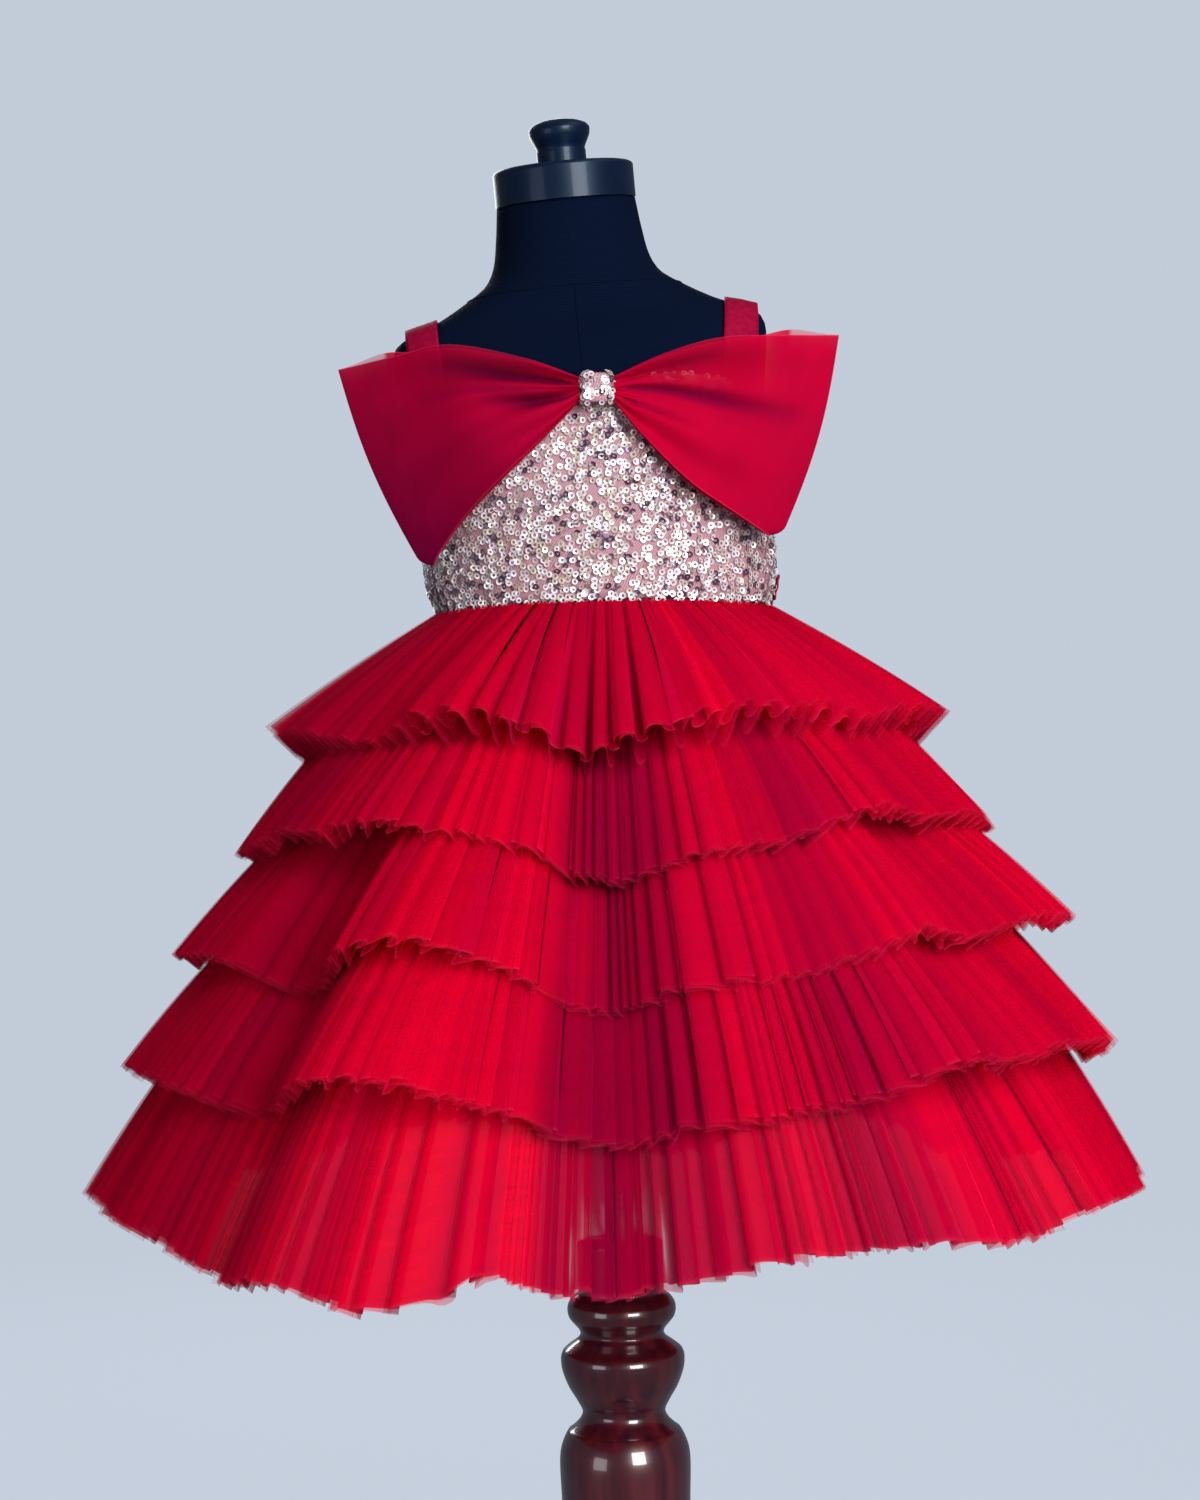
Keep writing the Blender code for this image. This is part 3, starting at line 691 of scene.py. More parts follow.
def net_finish(name, colour, dark, opacity, through=0.5):
    """Fine red net: soft and partly see-through, paler along the cut edge, and darkened with painted shade
    in the folds.
    """
    made, tree, shader = new_material(name, Roughness=0.8, Specular_IOR_Level=0.02)
    place = attribute(tree, "cloth", "Vector")
    tone = blend_colours(tree, attribute(tree, "shade"), (*dark, 1.0), (*colour, 1.0))
    mottle = remap(tree, noise(tree, place, 38.0, 3.0), 0.3, 0.7, 0.0, 0.15)
    tone = blend_colours(tree, mottle, tone, (*dark, 1.0))
    edge = remap(tree, attribute(tree, "hem"), 0.985, 0.998, 0.0, 0.30)
    tone = blend_colours(tree, edge, tone, EDGE_COLOUR)
    paint(tree, shader, tone)
    glow = node(tree, "ShaderNodeBsdfTranslucent", Color=tone)
    cloth = mix_shaders(tree, through, shader, glow)
    threads = {"feature": "DISTANCE_TO_EDGE", "voronoi_dimensions": "2D"}
    meshes = node(tree, "ShaderNodeTexVoronoi", threads, Vector=place, Scale=900.0, Randomness=0.35)
    holes = remap(tree, meshes.outputs["Distance"], 0.12, 0.34, 1.0, 0.92)
    sheer = remap(tree, attribute(tree, "sheer"), 0.0, 1.0, opacity, 0.1)
    clear = node(tree, "ShaderNodeBsdfTransparent")
    whole = mix_shaders(tree, combine(tree, "MULTIPLY", holes, sheer), clear, cloth)
    tree.links.new(whole.outputs[0], tree.nodes["Material Output"].inputs["Surface"])
    return made


def ribbon_finish():
    made, tree, shader = new_material("red_ribbon_cloth", Roughness=0.65, Specular_IOR_Level=0.06)
    weave = noise(tree, attribute(tree, "cloth", "Vector"), 260.0, 2.0)
    tone = ramp(tree, weave, ((0.3, (0.18, 0.0003, 0.020)), (0.7, (0.28, 0.0006, 0.026))))
    paint(tree, shader, tone, weave, 0.25)
    return made


def mesh_finish():
    """The dusty pink ground under the sequins, with its fine slanting net."""
    made, tree, shader = new_material("pink_ground", Roughness=0.6, Specular_IOR_Level=0.3)
    place = attribute(tree, "cloth", "Vector")
    lines = []
    for slant in (0.7, -0.9):
        turned = node(tree, "ShaderNodeMapping", Vector=place, Rotation=(0.0, 0.0, slant)).outputs["Vector"]
        wave = node(tree, "ShaderNodeTexWave", {"wave_profile": "SIN"}, Vector=turned, Scale=300.0)
        lines.append(wave.outputs["Fac"])
    thread = combine(tree, "MAXIMUM", *lines)
    tone = ramp(tree, thread, ((0.45, (0.17, 0.065, 0.09)), (0.95, (0.50, 0.28, 0.32))))
    paint(tree, shader, tone, thread, 0.5, 0.0003)
    return made


def sequin_finish():
    """Foil discs, each of its own tone."""
    gloss = {"Metallic": 0.35, "Roughness": 0.3, "Coat_Weight": 0.25, "Coat_Roughness": 0.12}
    made, tree, shader = new_material("sequin_foil", **gloss)
    paint(tree, shader, ramp(tree, attribute(tree, "tone"), FOIL_STOPS))
    return made


def jersey_finish():
    made, tree, shader = new_material("navy_jersey", Roughness=0.9, Specular_IOR_Level=0.05)
    bands = {"bands_direction": "Z"}
    rib = node(tree, "ShaderNodeTexWave", bands, Vector=object_place(tree), Scale=230.0).outputs["Fac"]
    tone = ramp(tree, rib, ((0.2, (0.0003, 0.0022, 0.0105)), (0.9, (0.0006, 0.0042, 0.0180))))
    paint(tree, shader, tone, rib)
    return made


def lacquer_finish():
    # Its bluish specular tint is painted light: it gives the highlights the blue of window daylight.
    made, tree, shader = new_material(
        "dark_lacquer", Roughness=0.4, Specular_IOR_Level=0.25, Specular_Tint=(0.55, 0.78, 1.0, 1.0),
        Coat_Weight=0.12, Coat_Roughness=0.1,
    )
    rubbed = noise(tree, object_place(tree), 60.0, 4.0)
    stops = ((0.3, (0.0005, 0.0036, 0.0150)), (0.75, (0.0010, 0.0065, 0.0240)))
    paint(tree, shader, ramp(tree, rubbed, stops))
    return made


def mahogany_finish():
    """Dark red polished wood, its grain running up the turning."""
    gloss = {"Roughness": 0.28, "Coat_Weight": 1.0, "Coat_Roughness": 0.05}
    made, tree, shader = new_material("polished_mahogany", **gloss)
    long_way = node(tree, "ShaderNodeMapping", Vector=object_place(tree), Scale=(1.0, 1.0, 0.08))
    grain = noise(tree, long_way.outputs["Vector"], 130.0, 6.0)
    stops = ((0.32, (0.024, 0.002, 0.008)), (0.55, (0.060, 0.005, 0.010)), (0.75, (0.10, 0.010, 0.012)))
    paint(tree, shader, ramp(tree, grain, stops))
    return made


def rod_finish():
    return new_material("brown_rod", Base_Color=(0.16, 0.055, 0.04, 1.0), Metallic=0.6, Roughness=0.35)[0]


# Dress form and stand

def in_form(x, y, rise):
    """Places given across and along the form's section at a rise, in the row frame."""
    lean = LEAN * share_of(rise, 0.0, LEAN_EASE)
    nod = NECK_TILT * np.maximum(rise - NECK_TILT_START, 0.0) / (TORSO[-1].rise - NECK_TILT_START)
    along = np.maximum(rise, 0.0)
    y, up = y * np.cos(nod), y * np.sin(nod)
    place_x = -along * math.sin(LEAN) + x * np.cos(lean) - up * np.sin(lean)
    place_z = WAIST_HEIGHT + rise - along * (1 - math.cos(LEAN)) + x * np.sin(lean) + up * np.cos(lean)
    return stacked(place_x, y, place_z)


def torso_points(rise, angle, proud=0.0):
    """Points on the torso at arrays of rises above the waist and angles from the front towards +X."""
    rise, angle = np.broadcast_arrays(np.asarray(rise, float), np.asarray(angle, float))
    power = 2 / column_of(TORSO, rise, "squareness")
    across, ahead = np.sin(angle), np.cos(angle)
    x = (column_of(TORSO, rise, "half_width") + proud) * np.sign(across) * abs(across) ** power
    y = -(column_of(TORSO, rise, "half_depth") + proud) * np.sign(ahead) * abs(ahead) ** power
    return in_form(x, y, rise)


def make_form(jersey, lacquer):
    sections = [row.rise for row in TORSO]
    rises = np.unique(np.concatenate([np.linspace(sections[0], sections[-1], TORSO_ROWS), sections]))[::-1]
    angle = np.arange(LATHE_SIDES) * 2 * math.pi / LATHE_SIDES
    torso = ringed_solid("jersey_torso", torso_points(rises[:, None], angle[None]))
    finish_piece(torso, jersey, "form_jersey", "form_torso")
    make_form_seams(jersey)
    middle = Vector(in_form(0.0, 0.0, TORSO[-1].rise))
    turn = (Matrix.Rotation(-LEAN, 3, "Y") @ Matrix.Rotation(NECK_TILT, 3, "X")).to_4x4()
    for name, profile, above, solid in (
        ("neck_cap", CAP, SEAM, "form_neck_cap"),
        ("cap_knob", KNOB, 2 * SEAM + CAP_HEIGHT, "form_knob"),
    ):
        place = Matrix.Translation(middle) @ turn @ Matrix.Translation((0.0, 0.0, above))
        lathe(name, profile, lacquer, "cap_lacquer", solid, place=place)


def make_form_seams(jersey):
    """The seams of the jersey: round the root of the neck and down the middle of the front and back."""
    angle = np.linspace(-math.pi, math.pi, LATHE_SIDES + 1)
    ring = torso_points(NECK_SEAM_RISE - NECK_SEAM_DIP * np.cos(angle), angle, SEAM_PROUD)
    tube("neck_seam", ring, SEAM_RADIUS, jersey, "form_jersey")
    rise = np.linspace(BACK_RISE - 0.004, NECK_SEAM_RISE, 40)
    for name, at, dip in (("front_seam", 0.0, NECK_SEAM_DIP), ("back_seam", math.pi, 0.0)):
        tube(name, torso_points(rise - dip, at, SEAM_PROUD), SEAM_RADIUS, jersey, "form_jersey")


def make_stand(mahogany, rod):
    lathe("turned_post", POST, mahogany, "mahogany", "stand_post")
    lathe("turned_base", BASE, mahogany, "mahogany", "stand_base")
    lathe("thin_rod", ROD, rod, "rod_metal", "stand_rod", sides=ROD_SIDES)


# Bodice

def bodice_top(angle):
    """How high the bodice reaches, highest at the middle front and lowest under the arms."""
    side = np.sin(angle) ** 4
    middle = np.where(np.cos(angle) > 0, NECKLINE_RISE, BACK_RISE)
    return middle + (ARMHOLE_RISE - middle) * side


def panel_points(start, end, columns, proud):
    angle = np.linspace(start, end, columns)[None]
    share = np.linspace(0.0, 1.0, PANEL_ROWS)[:, None]
    return torso_points(SEAM + (bodice_top(angle) - SEAM) * share, angle, proud)


def sequin_places(start, end, dice):
    """Staggered places over a panel, as rises and angles, a little uneven."""
    rises, angles = [], []
    fine = np.linspace(start, end, 300)
    levels = np.arange(-0.0008, bodice_top(fine).max() + 0.0005, SEQUIN_SPACING * SEQUIN_ROW_SHARE)
    for number, rise in enumerate(levels):
        along = travelled(torso_points(rise, fine, EASE + WALL))
        steps = np.arange(0.0008 + (number % 2) * SEQUIN_SPACING / 2, along[-1], SEQUIN_SPACING)
        steps = steps + dice.uniform(-SEQUIN_STRAY, SEQUIN_STRAY, len(steps)) * SEQUIN_SPACING
        angle = np.interp(steps, along, fine)
        row = rise + dice.uniform(-SEQUIN_STRAY, SEQUIN_STRAY, len(angle)) * SEQUIN_SPACING
        keep = (row < bodice_top(angle) + 0.0002) & (dice.random(len(angle)) > SEQUIN_MISSING)
        rises.append(row[keep])
        angles.append(angle[keep])
    return np.concatenate(rises), np.concatenate(angles)


def sequin_mesh(name, places, normals, dice, finish, tilt=0.42):
    """Small cupped discs with a hole, each at a place, tilted by chance off its normal."""
    count = len(places)
    ring = stacked(*circle(SEQUIN_SIDES), 0.0)
    levels = ((SEQUIN_RADIUS, SEQUIN_CUP), (SEQUIN_RADIUS * 0.62, 0.00005), (SEQUIN_HOLE, 0.0))
    disc = np.concatenate([ring * radius + (0.0, 0.0, height) for radius, height in levels])
    faces = halved(grid_faces(len(levels), SEQUIN_SIDES, True))
    lean = unit(normals + dice.normal(0.0, tilt, (count, 3)) * dice.uniform(0.1, 1.0, (count, 1)))
    facing = (lean * normals).sum(axis=1) < 0.25
    lean[facing] = normals[facing]
    helper = np.where(abs(lean[:, 2:]) < 0.9, (0.0, 0.0, 1.0), (1.0, 0.0, 0.0))
    first = unit(np.cross(helper, lean))
    turned = np.stack([first, np.cross(lean, first), lean], axis=1)
    size = dice.uniform(0.88, 1.05, (count, 1, 1))
    points = size * (disc @ turned)
    points = points + (places + normals * dice.uniform(0.0006, 0.0013, (count, 1)))[:, None]
    faces = (faces[None] + np.arange(count)[:, None, None] * len(disc)).reshape(-1, 3)
    tone = np.repeat(dice.random(count), len(disc))
    made = mesh_object(name, points, faces, {"tone": tone})
    return finish_piece(made, finish, "sequin_mesh")


def panel_sequins(name, start, end, tied_from, dice, foil):
    """The sequins of a panel, apart from those that a tie would press on."""
    rise, angle = sequin_places(start, end, dice)
    shown = (abs(angle) < tied_from) | (rise < SASH_BOTTOM_RISE) | (rise > SASH_TOP_RISE)
    rise, angle = rise[shown], angle[shown]
    proud = EASE + WALL
    across = torso_points(rise, angle + 0.01, proud) - torso_points(rise, angle - 0.01, proud)
    up = torso_points(rise + 0.001, angle, proud) - torso_points(rise - 0.001, angle, proud)
    return sequin_mesh(name, torso_points(rise, angle, proud), unit(np.cross(across, up)), dice, foil)


def make_bodice(ground, foil):
    side, back = math.pi / 2, math.pi
    half = SEAM_ANGLE / 2
    for name, solid, start, end, columns, tied_from, seed in (
        ("front_panel", "bodice_front", -side + half, side - half, 96, back, 40),
        ("back_panel_left", "bodice_back_left", -back + half, -side - half, 48, side + SASH_LEFT_START, 41),
        ("back_panel_right", "bodice_back_right", side + half, back - half, 48, side, 42),
    ):
        points = panel_points(start, end, columns, EASE + WALL / 2)
        made = thicken(grid_object(name, points), WALL)
        finish_piece(made, ground, "sequin_mesh", solid)
        discs = panel_sequins(f"{name}_sequins", start, end, tied_from, np.random.default_rng(seed), foil)


# Straps and ties

def strap_foot(across, ahead_sign):
    """The bearing, seen from the side, of the bodice's top edge this far from the middle."""
    rise = BACK_RISE
    for _ in range(8):
        power = column_of(TORSO, rise, "squareness") / 2
        across_share = min(across / column_of(TORSO, rise, "half_width"), 0.999)
        angle = math.asin(across_share**power)
        rise = float(bodice_top(angle if ahead_sign > 0 else math.pi - angle)) + 2 * SEAM
    ahead = column_of(TORSO, rise, "half_depth") * math.cos(angle) ** (1 / power)
    return math.atan2(rise - STRAP_CENTRE_RISE, ahead_sign * ahead)


def torso_reach(across, bearing):
    """How far the torso reaches from the straps' centre, at bearings in a plane across the shoulder."""
    low, high = np.zeros_like(bearing), np.full_like(bearing, 0.15)
    for _ in range(30):
        middle = (low + high) / 2
        rise = STRAP_CENTRE_RISE + middle * np.sin(bearing)
        power = column_of(TORSO, rise, "squareness")
        width_share = abs(across) / column_of(TORSO, rise, "half_width")
        depth_share = abs(middle * np.cos(bearing)) / column_of(TORSO, rise, "half_depth")
        inside = width_share**power + depth_share**power < 1
        low, high = np.where(inside, middle, low), np.where(inside, high, middle)
    return low


def strap_points(strap, shares, lift=0.0):
    """Rows of points along a strap at shares of its width, -0.5 to 0.5, lifted off its middle surface."""
    turn = np.linspace(0.0, 1.0, STRAP_ROWS)
    bearings, reaches, places = [], [], []
    for edge in (-0.5, 0.0, 0.5):
        foot = strap.foot_offset + strap.side * edge * STRAP_WIDTH
        middle = strap.foot_offset + (strap.top_offset - strap.foot_offset) * np.sin(math.pi * turn)
        front, back = strap_foot(foot, 1), strap_foot(foot, -1)
        places.append(middle + strap.side * edge * STRAP_WIDTH)
        bearings.append(front + (back - front) * turn)
        reaches.append(torso_reach(places[-1], bearings[-1]))
    highest = np.max(reaches, axis=0)
    reaches = [own + (highest - own) * STRAP_FLATNESS + STRAP_CLEAR + lift for own in reaches]
    columns = []
    for share in shares:
        weight = abs(share) * 2
        edge = 0 if share < 0 else 2
        across = places[1] + strap.side * share * STRAP_WIDTH
        bearing = bearings[1] * (1 - weight) + bearings[edge] * weight
        reach = reaches[1] * (1 - weight) + reaches[edge] * weight
        ahead, up = reach * np.cos(bearing), reach * np.sin(bearing)
        columns.append(in_form(strap.side * across, -ahead, STRAP_CENTRE_RISE + up))
    return np.stack(columns, axis=1)


def make_straps(ribbon):
    for strap in STRAPS:
        points = strap_points(strap, np.linspace(-0.5, 0.5, 9))
        made = thicken(grid_object(strap.name, points), WALL)
        finish_piece(made, ribbon, "red_ribbon", strap.node)
        for label, share in (("inner", -STRAP_STITCH_SHARE), ("outer", STRAP_STITCH_SHARE)):
            line = strap_points(strap, (share,), WALL / 2)[:, 0]
            row_name = f"{strap.name}_stitches_{label}"
            stitches(row_name, line, STRAP_STITCH_RADIUS, ribbon, "red_ribbon")


def make_ties(ribbon):
    """Flat ties over the foot of the back panels, with a few long soft creases."""
    for tie in TIES:
        start, end = tie.side * (math.pi / 2 + SEAM_ANGLE + tie.later), tie.side * (math.pi - SEAM_ANGLE)
        angle = np.linspace(start, end, 60)[None]
        share = np.linspace(0.0, 1.0, 9)[:, None]
        rise = SASH_BOTTOM_RISE + (SASH_TOP_RISE - SASH_BOTTOM_RISE) * share
        crease = TIE_CREASE * np.sin(4 * math.pi * share + 5 * angle) * np.sin(math.pi * share)
        loose = TIE_LOOSE * hump(angle, start, 0.15)
        points = torso_points(rise, angle, EASE + 1.5 * WALL + SEAM + 0.0006 + crease + loose)
        made = thicken(grid_object(tie.name, points if tie.side > 0 else points[:, ::-1]), WALL)
        finish_piece(made, ribbon, "red_ribbon", tie.node)
        proud = EASE + 2 * WALL + SEAM + 0.0007 + loose[0]
        line = torso_points(SASH_TOP_RISE - TIE_STITCH_DROP, angle[0], proud)
        row = stitches(f"{tie.name}_stitches", line, TIE_STITCH_RADIUS, ribbon, "red_ribbon")


# Bow

def bow_points(stations, out, down, layer, troughs):
    """Points of a loop: out from knot 0 to fold 1, down from 0 to 1, layer from back -1 to front 1."""
    side = math.copysign(1.0, stations[-1].top_x)
    value = {name: column_of(stations, out, name) for name in BOW_COLUMNS.split()[1:]}
    phase = np.where(layer > 0, BOW_FRONT_PHASE, BOW_BACK_PHASE)
    wave = BOW_WAVE_DEPTH * np.sin(2 * math.pi * BOW_WAVES * down + phase)
    inner = np.sin(math.pi * np.clip(out + BOW_FLAT_END, 0.0, 1.0))
    fade = np.where(out < 1 - BOW_FLAT_END, np.sqrt(np.maximum(inner, 0.0)), 0.0)
    gathers = GATHER_DEPTH * hump(out, 0.10, 0.16) * np.sin(2 * math.pi * GATHERS * down + phase)
    pressed = np.zeros_like(out)
    for trough in troughs:
        line = trough.start + (trough.end - trough.start) * np.clip(out / trough.reach, 0.0, 1.2)
        fall = share_of(out, 0.0, 0.08) * share_of(trough.reach - out, 0.0, trough.reach * 0.45)
        pressed = pressed + trough.depth * hump(down, line, trough.width) * fall
    peek = BOW_PEEK * hump(out, 0.80, 0.13) * hump(down, 0.0, 0.10) * (layer < 0)
    corner = BOW_CORNER * (share_of(out, 0.88, 0.12) * share_of(down, 0.92, 0.08)) ** 2
    x = value["top_x"] + (value["bottom_x"] - value["top_x"]) * down
    x = x + side * (BOW_BULGE * out * np.sin(math.pi * down) - corner)
    z = value["top_z"] + (value["bottom_z"] - value["top_z"]) * down + peek + 0.8 * corner
    rumple = wave * fade + gathers - pressed * (layer > 0)
    y = -value["depth"] - layer * value["gap"] / 2 - rumple * np.minimum(1.0, abs(layer) * 2)
    return stacked(x, y, z), pressed


def make_bow(net):
    turn = np.linspace(-1.0, 1.0, 97)[:, None]
    down = np.linspace(0.0, 1.0, 65)[None]
    out, down, layer = np.broadcast_arrays(1 - turn * turn, down, np.sin(math.pi / 2 * turn))
    for loop in LOOPS:
        points, pressed = bow_points(loop.stations, out, down, layer, loop.troughs)
        band = 0.48 * hump(down, 0.0, 0.32, 4) * hump(out, 0.42, 0.26, 4)
        edge = 0.6 * hump(down, 0.0, 0.05) * (out > 0.80) * (layer < 0)
        # Painted shade: darker towards the loop's outer, lower part and in its pressed troughs.
        shade = 0.98 - loop.fall * (0.35 + out**1.3 * (0.3 + 0.7 * down)) - BOW_TROUGH_SHADE * pressed
        values = {
            "shade": np.clip(shade, 0.0, 1.0).ravel(),
            "hem": (abs(down - 0.5) * 2).ravel(),
            "sheer": (band + edge).ravel(),
        }
        made = finish_piece(grid_object(loop.name, points, attributes=values), net, "red_net", loop.node)


def make_knot(ground, foil):
    """A sequinned band drawn round the gathered middle of the bow."""
    share = np.linspace(-0.5, 0.5, 20)
    swell = hermite(KNOT_LEVELS, KNOT_SWELL, share)[:, None]
    across, ahead = (np.sign(value) * abs(value) ** KNOT_SQUARENESS for value in circle(48))
    x = (KNOT_WIDTH / 2 - KNOT_INSET) * swell * across
    y = (KNOT_DEPTH / 2 - KNOT_INSET) * swell * ahead
    points = stacked(x, y, (share * KNOT_HEIGHT)[:, None]) + np.array(KNOT_CENTRE)
    made = thicken(grid_object("knot_band", points, closed=True), KNOT_WALL)
    finish_piece(made, ground, "sequin_mesh", "bow_knot")
    dice = np.random.default_rng(7)
    front = points[:, :, 1] < KNOT_CENTRE.y + 0.002
    picked = front & (dice.random(front.shape) < KNOT_SEQUINS)
    discs = sequin_mesh("knot_sequins", points[picked], grid_normals(points)[picked], dice, foil, tilt=0.4)


# Skirt

def outward(azimuth):
    angle = np.radians(azimuth)
    return stacked(np.sin(angle), -np.cos(angle), 0.0)


def fold_values(azimuth, column):
    return column_of(FOLDS, azimuth, column, period=360)


def sewing_points(tier, azimuth):
    """Where a tier's top edge is sewn, at arrays of azimuths."""
    tuck = fold_values(azimuth, "tuck")
    ahead = outward(azimuth)
    place = ahead * (tier.half_width, tier.half_depth, 0.0) - ahead * (tier.tuck_in * tuck)[..., None]
    height = tier.side_height + (tier.front_height - tier.side_height) * ahead[..., 1] ** 2
    place[..., 2] = height - tier.tuck_down * tuck
    return place


def strip_points(number, azimuth, along, lift, longer):
    """Points of a tier's strip, along 0 at its sewn edge to 1 at its hem, lifted off its middle surface."""
    tier = TIERS[number - 1]
    slope = np.radians(fold_values(azimuth, f"slope_{number}"))
    length = tier.strip + longer
    if number == len(TIERS):
        length = length + fold_values(azimuth, "longer")
    first = slope - STRIP_BEND / 2
    here = first + STRIP_BEND * along
    run = length * (np.sin(here) - np.sin(first)) / STRIP_BEND
    drop = length * (np.cos(first) - np.cos(here)) / STRIP_BEND
    out = (run + np.sin(here) * lift)[..., None] * outward(azimuth)
    up = (np.cos(here) * lift - drop)[..., None] * (0.0, 0.0, 1.0)
    return sewing_points(tier, azimuth) + out + up


def wobble(azimuth, seed, slow, fast):
    """A smooth uneven value round the skirt, about -1 to 1."""
    dice = np.random.default_rng(seed)
    total = np.zeros_like(azimuth)
    for wave in dice.integers(slow, fast, WOBBLE_WAVES):
        total = total + np.sin(np.radians(azimuth) * wave + dice.uniform(0.0, 2 * math.pi))
    return total / math.sqrt(WOBBLE_WAVES)


def meander(fullness, crest_share, columns):
    """One pleat seen from its edge: how far across its pitch and how far out each column is.

    Its crest takes this share of the pitch, and the trough the rest.
    """
    share = np.linspace(0.0, 1.0, 801)
    heading = math.radians(fullness) * np.cos(2 * math.pi * share)
    stretch = np.where(share < 0.5, crest_share, 1 - crest_share)
    across = np.concatenate([[0.0], np.cumsum(np.cos(heading) * stretch)[:-1]])
    out = np.concatenate([[0.0], np.cumsum(np.sin(heading))[:-1]])
    at = np.arange(columns) / columns
    return np.interp(at, share, across / across[-1]), np.interp(at, share, out / out.max() * 2 - 1)


def pleat_starts(number, own):
    """Where round the skirt each pleat of a tier starts, how wide it is, and how far it is pressed over."""
    pleating = PLEATING[number - 1]
    regular = 360 * (np.arange(pleating.count) + 0.5) / pleating.count - 180
    width = np.exp(pleating.spread * (0.8 * wobble(regular, 10 * number, 9, 30) + 0.6 * own))
    width *= 360 / width.sum()
    start = np.concatenate([[0.0], np.cumsum(width)[:-1]]) - 180
    return start, width, pleating.lean * np.clip(2.2 * wobble(start, 40 * number, 4, 14), -1.0, 1.0)


def pleated_points(number, ply):
    """One ply of a tier: its points, the directions that its strip faces, and its values for the net."""
    pleating = PLEATING[number - 1]
    last = number == len(TIERS)
    across, out = meander(pleating.fullness, pleating.crest_share, pleating.columns)
    pleat, part = np.divmod(np.arange(pleating.count * pleating.columns), pleating.columns)
    out = out[part]
    dice = np.random.default_rng(100 + number)
    own = dice.uniform(-1.0, 1.0, pleating.count)
    start, width, pressed = pleat_starts(number, own)
    azimuth = start[pleat] + width[pleat] * (across[part] + 0.5 * pressed[pleat] * out)
    azimuth = azimuth + ply.drift * 360 / pleating.count * wobble(azimuth, 60 * number, 5, 21)
    uneven = 0.74 + 0.16 * wobble(azimuth, 20 * number, 12, 50) + 0.10 * np.sin(5.1 * own[pleat])
    uneven = np.clip(uneven * np.minimum(1.0, 0.55 + 0.45 * pleating.count * width[pleat] / 360), 0.30, 1.0)
    rows = LAST_STRIP_ROWS if last else STRIP_ROWS
    along = np.append(np.linspace(0.0, 1 - HEM_ROW / TIERS[number - 1].strip, rows - 1), 1.0)[:, None]
    depth = pleating.seam_depth + (pleating.hem_depth - pleating.seam_depth) * along**pleating.growth
    sway = STRIP_SWAY * wobble(azimuth, 30 * number, 6, 24)
    stand = ply.stand * np.clip(0.25 + 0.75 * wobble(azimuth, 50 * number, 3, 17), 0.0, 1.0)
    profile = ply.level + (ply.first_deep if number == 1 else ply.deep) * (out - ply.level)
    lift = depth * uneven * profile / 2 + (pleating.centre + sway + stand) * along
    cut = pleating.ragged * dice.uniform(-1.0, 1.0, pleating.count)[pleat]
    longer = cut - ply.shorter * (LAST_FRINGE if last else 1.0)
    every, down, longer = (np.broadcast_to(item, lift.shape) for item in (azimuth, along, longer))
    points = strip_points(number, every, down, lift, longer)
    facing = strip_points(number, every, down, lift + 1, longer) - points
    # Painted light and shade: the tier's painted brightness, less the folds' painted shade and a painted
    # shade in each pleat's trough; each pleat's own tone also differs at random.
    tone = 0.10 * dice.uniform(-1.0, 1.0, pleating.count)[pleat] + 0.07 * wobble(azimuth, 70, 7, 40)
    tone = tone + pleating.tone - pleating.tucked * np.clip(fold_values(azimuth, "shade"), 0.0, 1.0)
    shade = np.clip(tone - CREST_SHADE * (1 - out) / 2 * along, 0.0, 1.0)
    values = {"hem": down.ravel(), "shade": shade.ravel()}
    if last:
        values["sheer"] = sheer_patches(every, down).ravel()
    return points, facing, values


def sheer_patches(azimuth, along):
    total = np.zeros(along.shape)
    for patch in SHEER:
        across = hump(azimuth, patch.azimuth, patch.half_width)
        total = total + patch.amount * across * hump(along, patch.along, patch.half_length, 4)
    return np.clip(total, 0.0, 1.0)


def soften(made, points, facing):
    """Turns the shading of fine pleats part of the way to that of their strip, as net scatters light."""
    normals = unit(facing * NORMAL_SOFTNESS - grid_normals(points) * (1 - NORMAL_SOFTNESS))
    made.data.normals_split_custom_set_from_vertices(normals.reshape(-1, 3))


def make_tiers(nets):
    for number in range(1, len(TIERS) + 1):
        for ply in PLIES:
            points, facing, values = pleated_points(number, ply)
            points = points + grid_normals(points) * ply.gap
            made = grid_object(f"tier_{number}_{ply.name}_net", points, closed=True, attributes=values)
            soften(made, points, facing)
            finish_piece(made, nets[ply.name], "red_net", f"tier_{number}")


def make_underskirt():
    """The lining: inside every sewing line by a wall and a gap, and a little longer than the last line."""
    azimuth = np.linspace(-180.0, 180.0, 181)[:-1]
    lines = np.stack([sewing_points(tier, azimuth) for tier in TIERS])
    rows = []
    for number, line in enumerate(lines):
        upper, lower = lines[max(number - 1, 0)], lines[min(number + 1, len(lines) - 1)]
        along = np.roll(line, -1, axis=0) - np.roll(line, 1, axis=0)
        rows.append(line - unit(np.cross(lower - upper, along)) * UNDERSKIRT_INSET)
    rows[-1] = rows[-1] + unit(rows[-1] - rows[-2]) * UNDERSKIRT_LONGER
    shares = np.arange(6)[:, None, None] / 6
    between = [upper + (lower - upper) * shares for upper, lower in zip(rows[:-1], rows[1:])]
    points = np.concatenate([*between, rows[-1][None]])
    lining = new_material("lining_net", Base_Color=LINING_COLOUR, Roughness=0.8)[0]
    made = thicken(grid_object("underskirt", points, closed=True), WALL)
    finish_piece(made, lining, "red_net", "skirt_base")


# Camera, floor and light

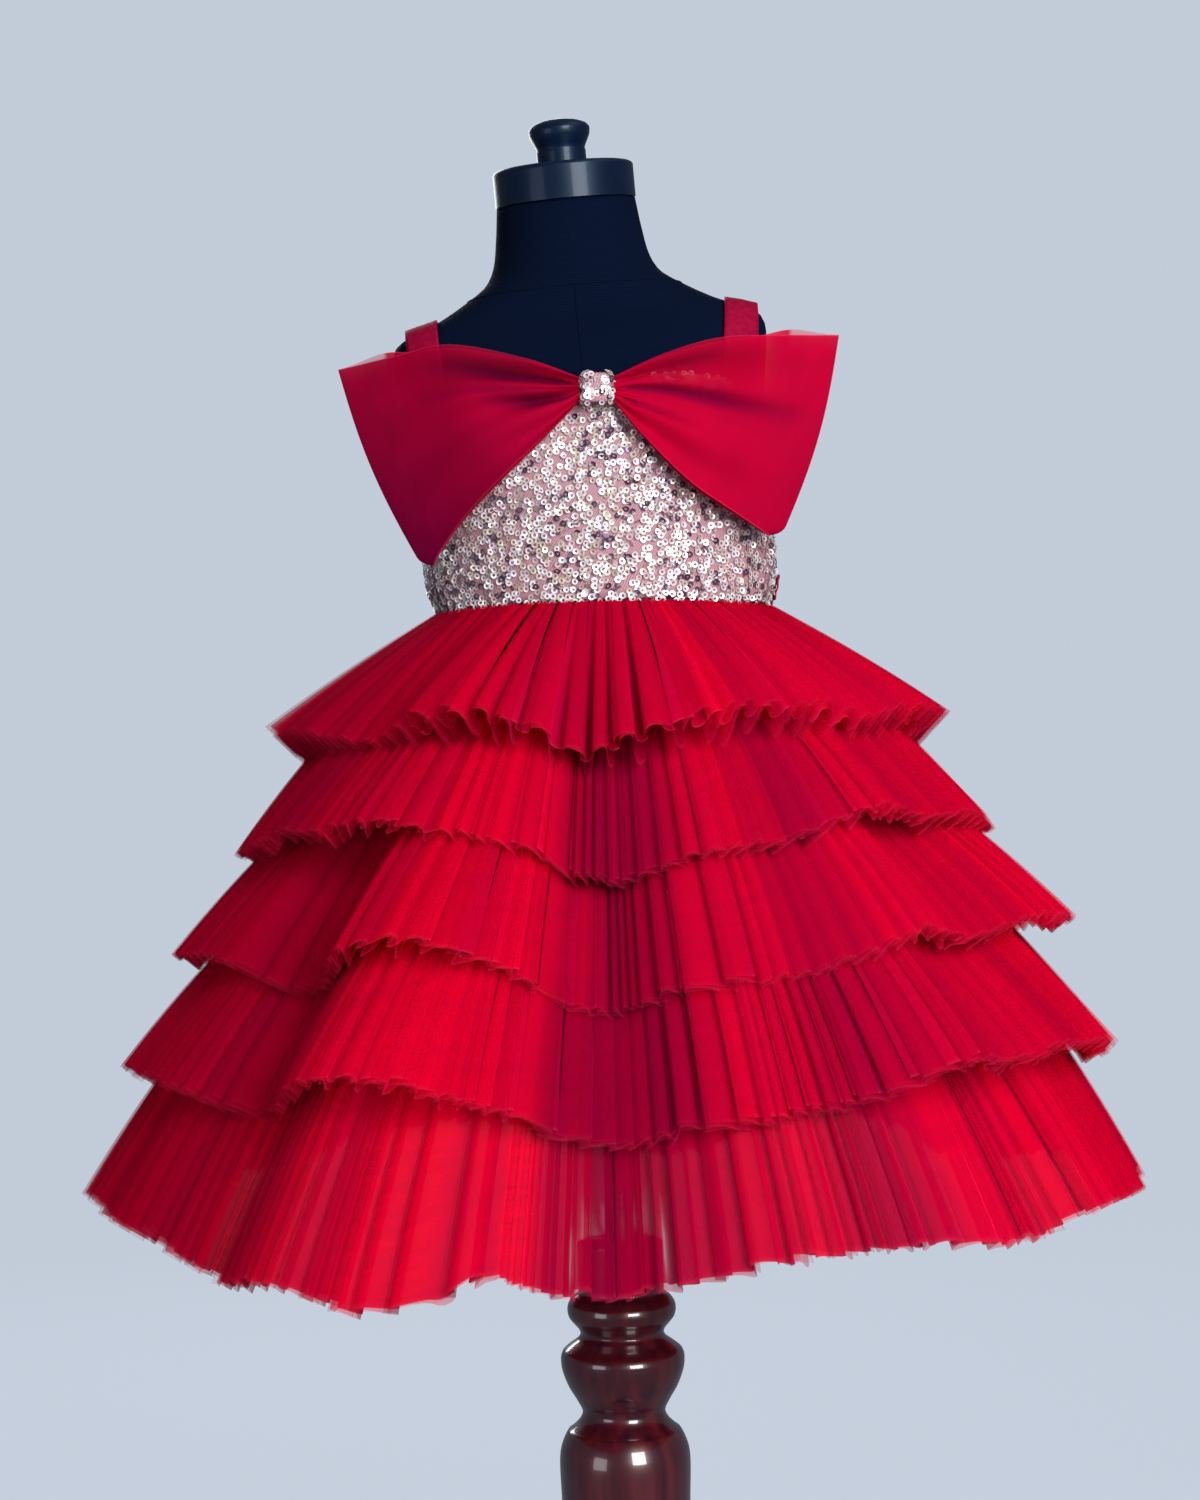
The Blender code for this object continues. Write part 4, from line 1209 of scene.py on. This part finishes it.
def make_camera():
    data = bpy.data.cameras.new("camera")
    data.sensor_width = SENSOR
    data.lens = SENSOR * FOCAL_PIXELS / PHOTO_HEIGHT
    camera = linked("camera", data)
    pitch = Matrix.Rotation(math.pi / 2 + CAMERA_PITCH, 4, "X")
    camera.matrix_world = Matrix.Translation(CAMERA_PLACE) @ pitch @ Matrix.Rotation(-CAMERA_ROLL, 4, "Z")
    bpy.context.scene.camera = camera


def make_stage():
    """A pale round floor that curves up into a pale wall, evenly lit all round."""
    bend = np.linspace(0.0, math.pi / 2, 17)
    wall = STUDIO_RADIUS - STUDIO_CURVE * (1 - np.sin(bend))
    radius = np.concatenate([[0.001, 1.0, 2.0], wall, [STUDIO_RADIUS]])
    height = np.concatenate([[0.0, 0.0, 0.0], STUDIO_CURVE * (1 - np.cos(bend)), [STUDIO_HEIGHT]])
    stage = grid_object("studio", revolved(radius, height - FLOOR_DROP, LATHE_SIDES), closed=True)
    pale = new_material(
        "studio_pale", Base_Color=(0.04, 0.045, 0.05, 1.0), Roughness=0.9, Specular_IOR_Level=0.0,
        Emission_Color=(0.53, 0.59, 0.68, 1.0), Emission_Strength=1.0,
    )[0]
    stage.data.materials.append(pale)
    stage.visible_diffuse = False
    stage.visible_glossy = False
    stage.visible_shadow = False


def make_light():
    for light in LIGHTS:
        data = bpy.data.lights.new(light.name, "AREA")
        data.shape = "RECTANGLE"
        data.size, data.size_y = light.size
        data.energy = light.energy
        data.color = light.colour
        made = linked(light.name, data)
        made.visible_camera = False
        made.location = light.place
        away = Vector(light.target) - Vector(light.place)
        made.rotation_euler = away.to_track_quat("-Z", "Y").to_euler()
    world = bpy.data.worlds.new("studio_air")
    bpy.context.scene.world = world
    world.use_nodes = True
    background = world.node_tree.nodes["Background"]
    background.inputs["Color"].default_value = AIR_COLOUR
    background.inputs["Strength"].default_value = AIR_STRENGTH


def make_object():
    nets = {ply.name: net_finish(f"net_{ply.name}", NET_COLOUR, NET_SHADE, ply.opacity) for ply in PLIES}
    bow_net = net_finish("net_bow", BOW_COLOUR, BOW_SHADE, 1.0, 0.2)
    ribbon = ribbon_finish()
    ground = mesh_finish()
    foil = sequin_finish()
    make_form(jersey_finish(), lacquer_finish())
    make_stand(mahogany_finish(), rod_finish())
    make_bodice(ground, foil)
    make_straps(ribbon)
    make_ties(ribbon)
    make_knot(ground, foil)
    make_bow(bow_net)
    make_underskirt()
    make_tiers(nets)


bpy.context.scene.view_settings.view_transform = "Standard"
make_camera()
make_stage()
make_light()
make_object()
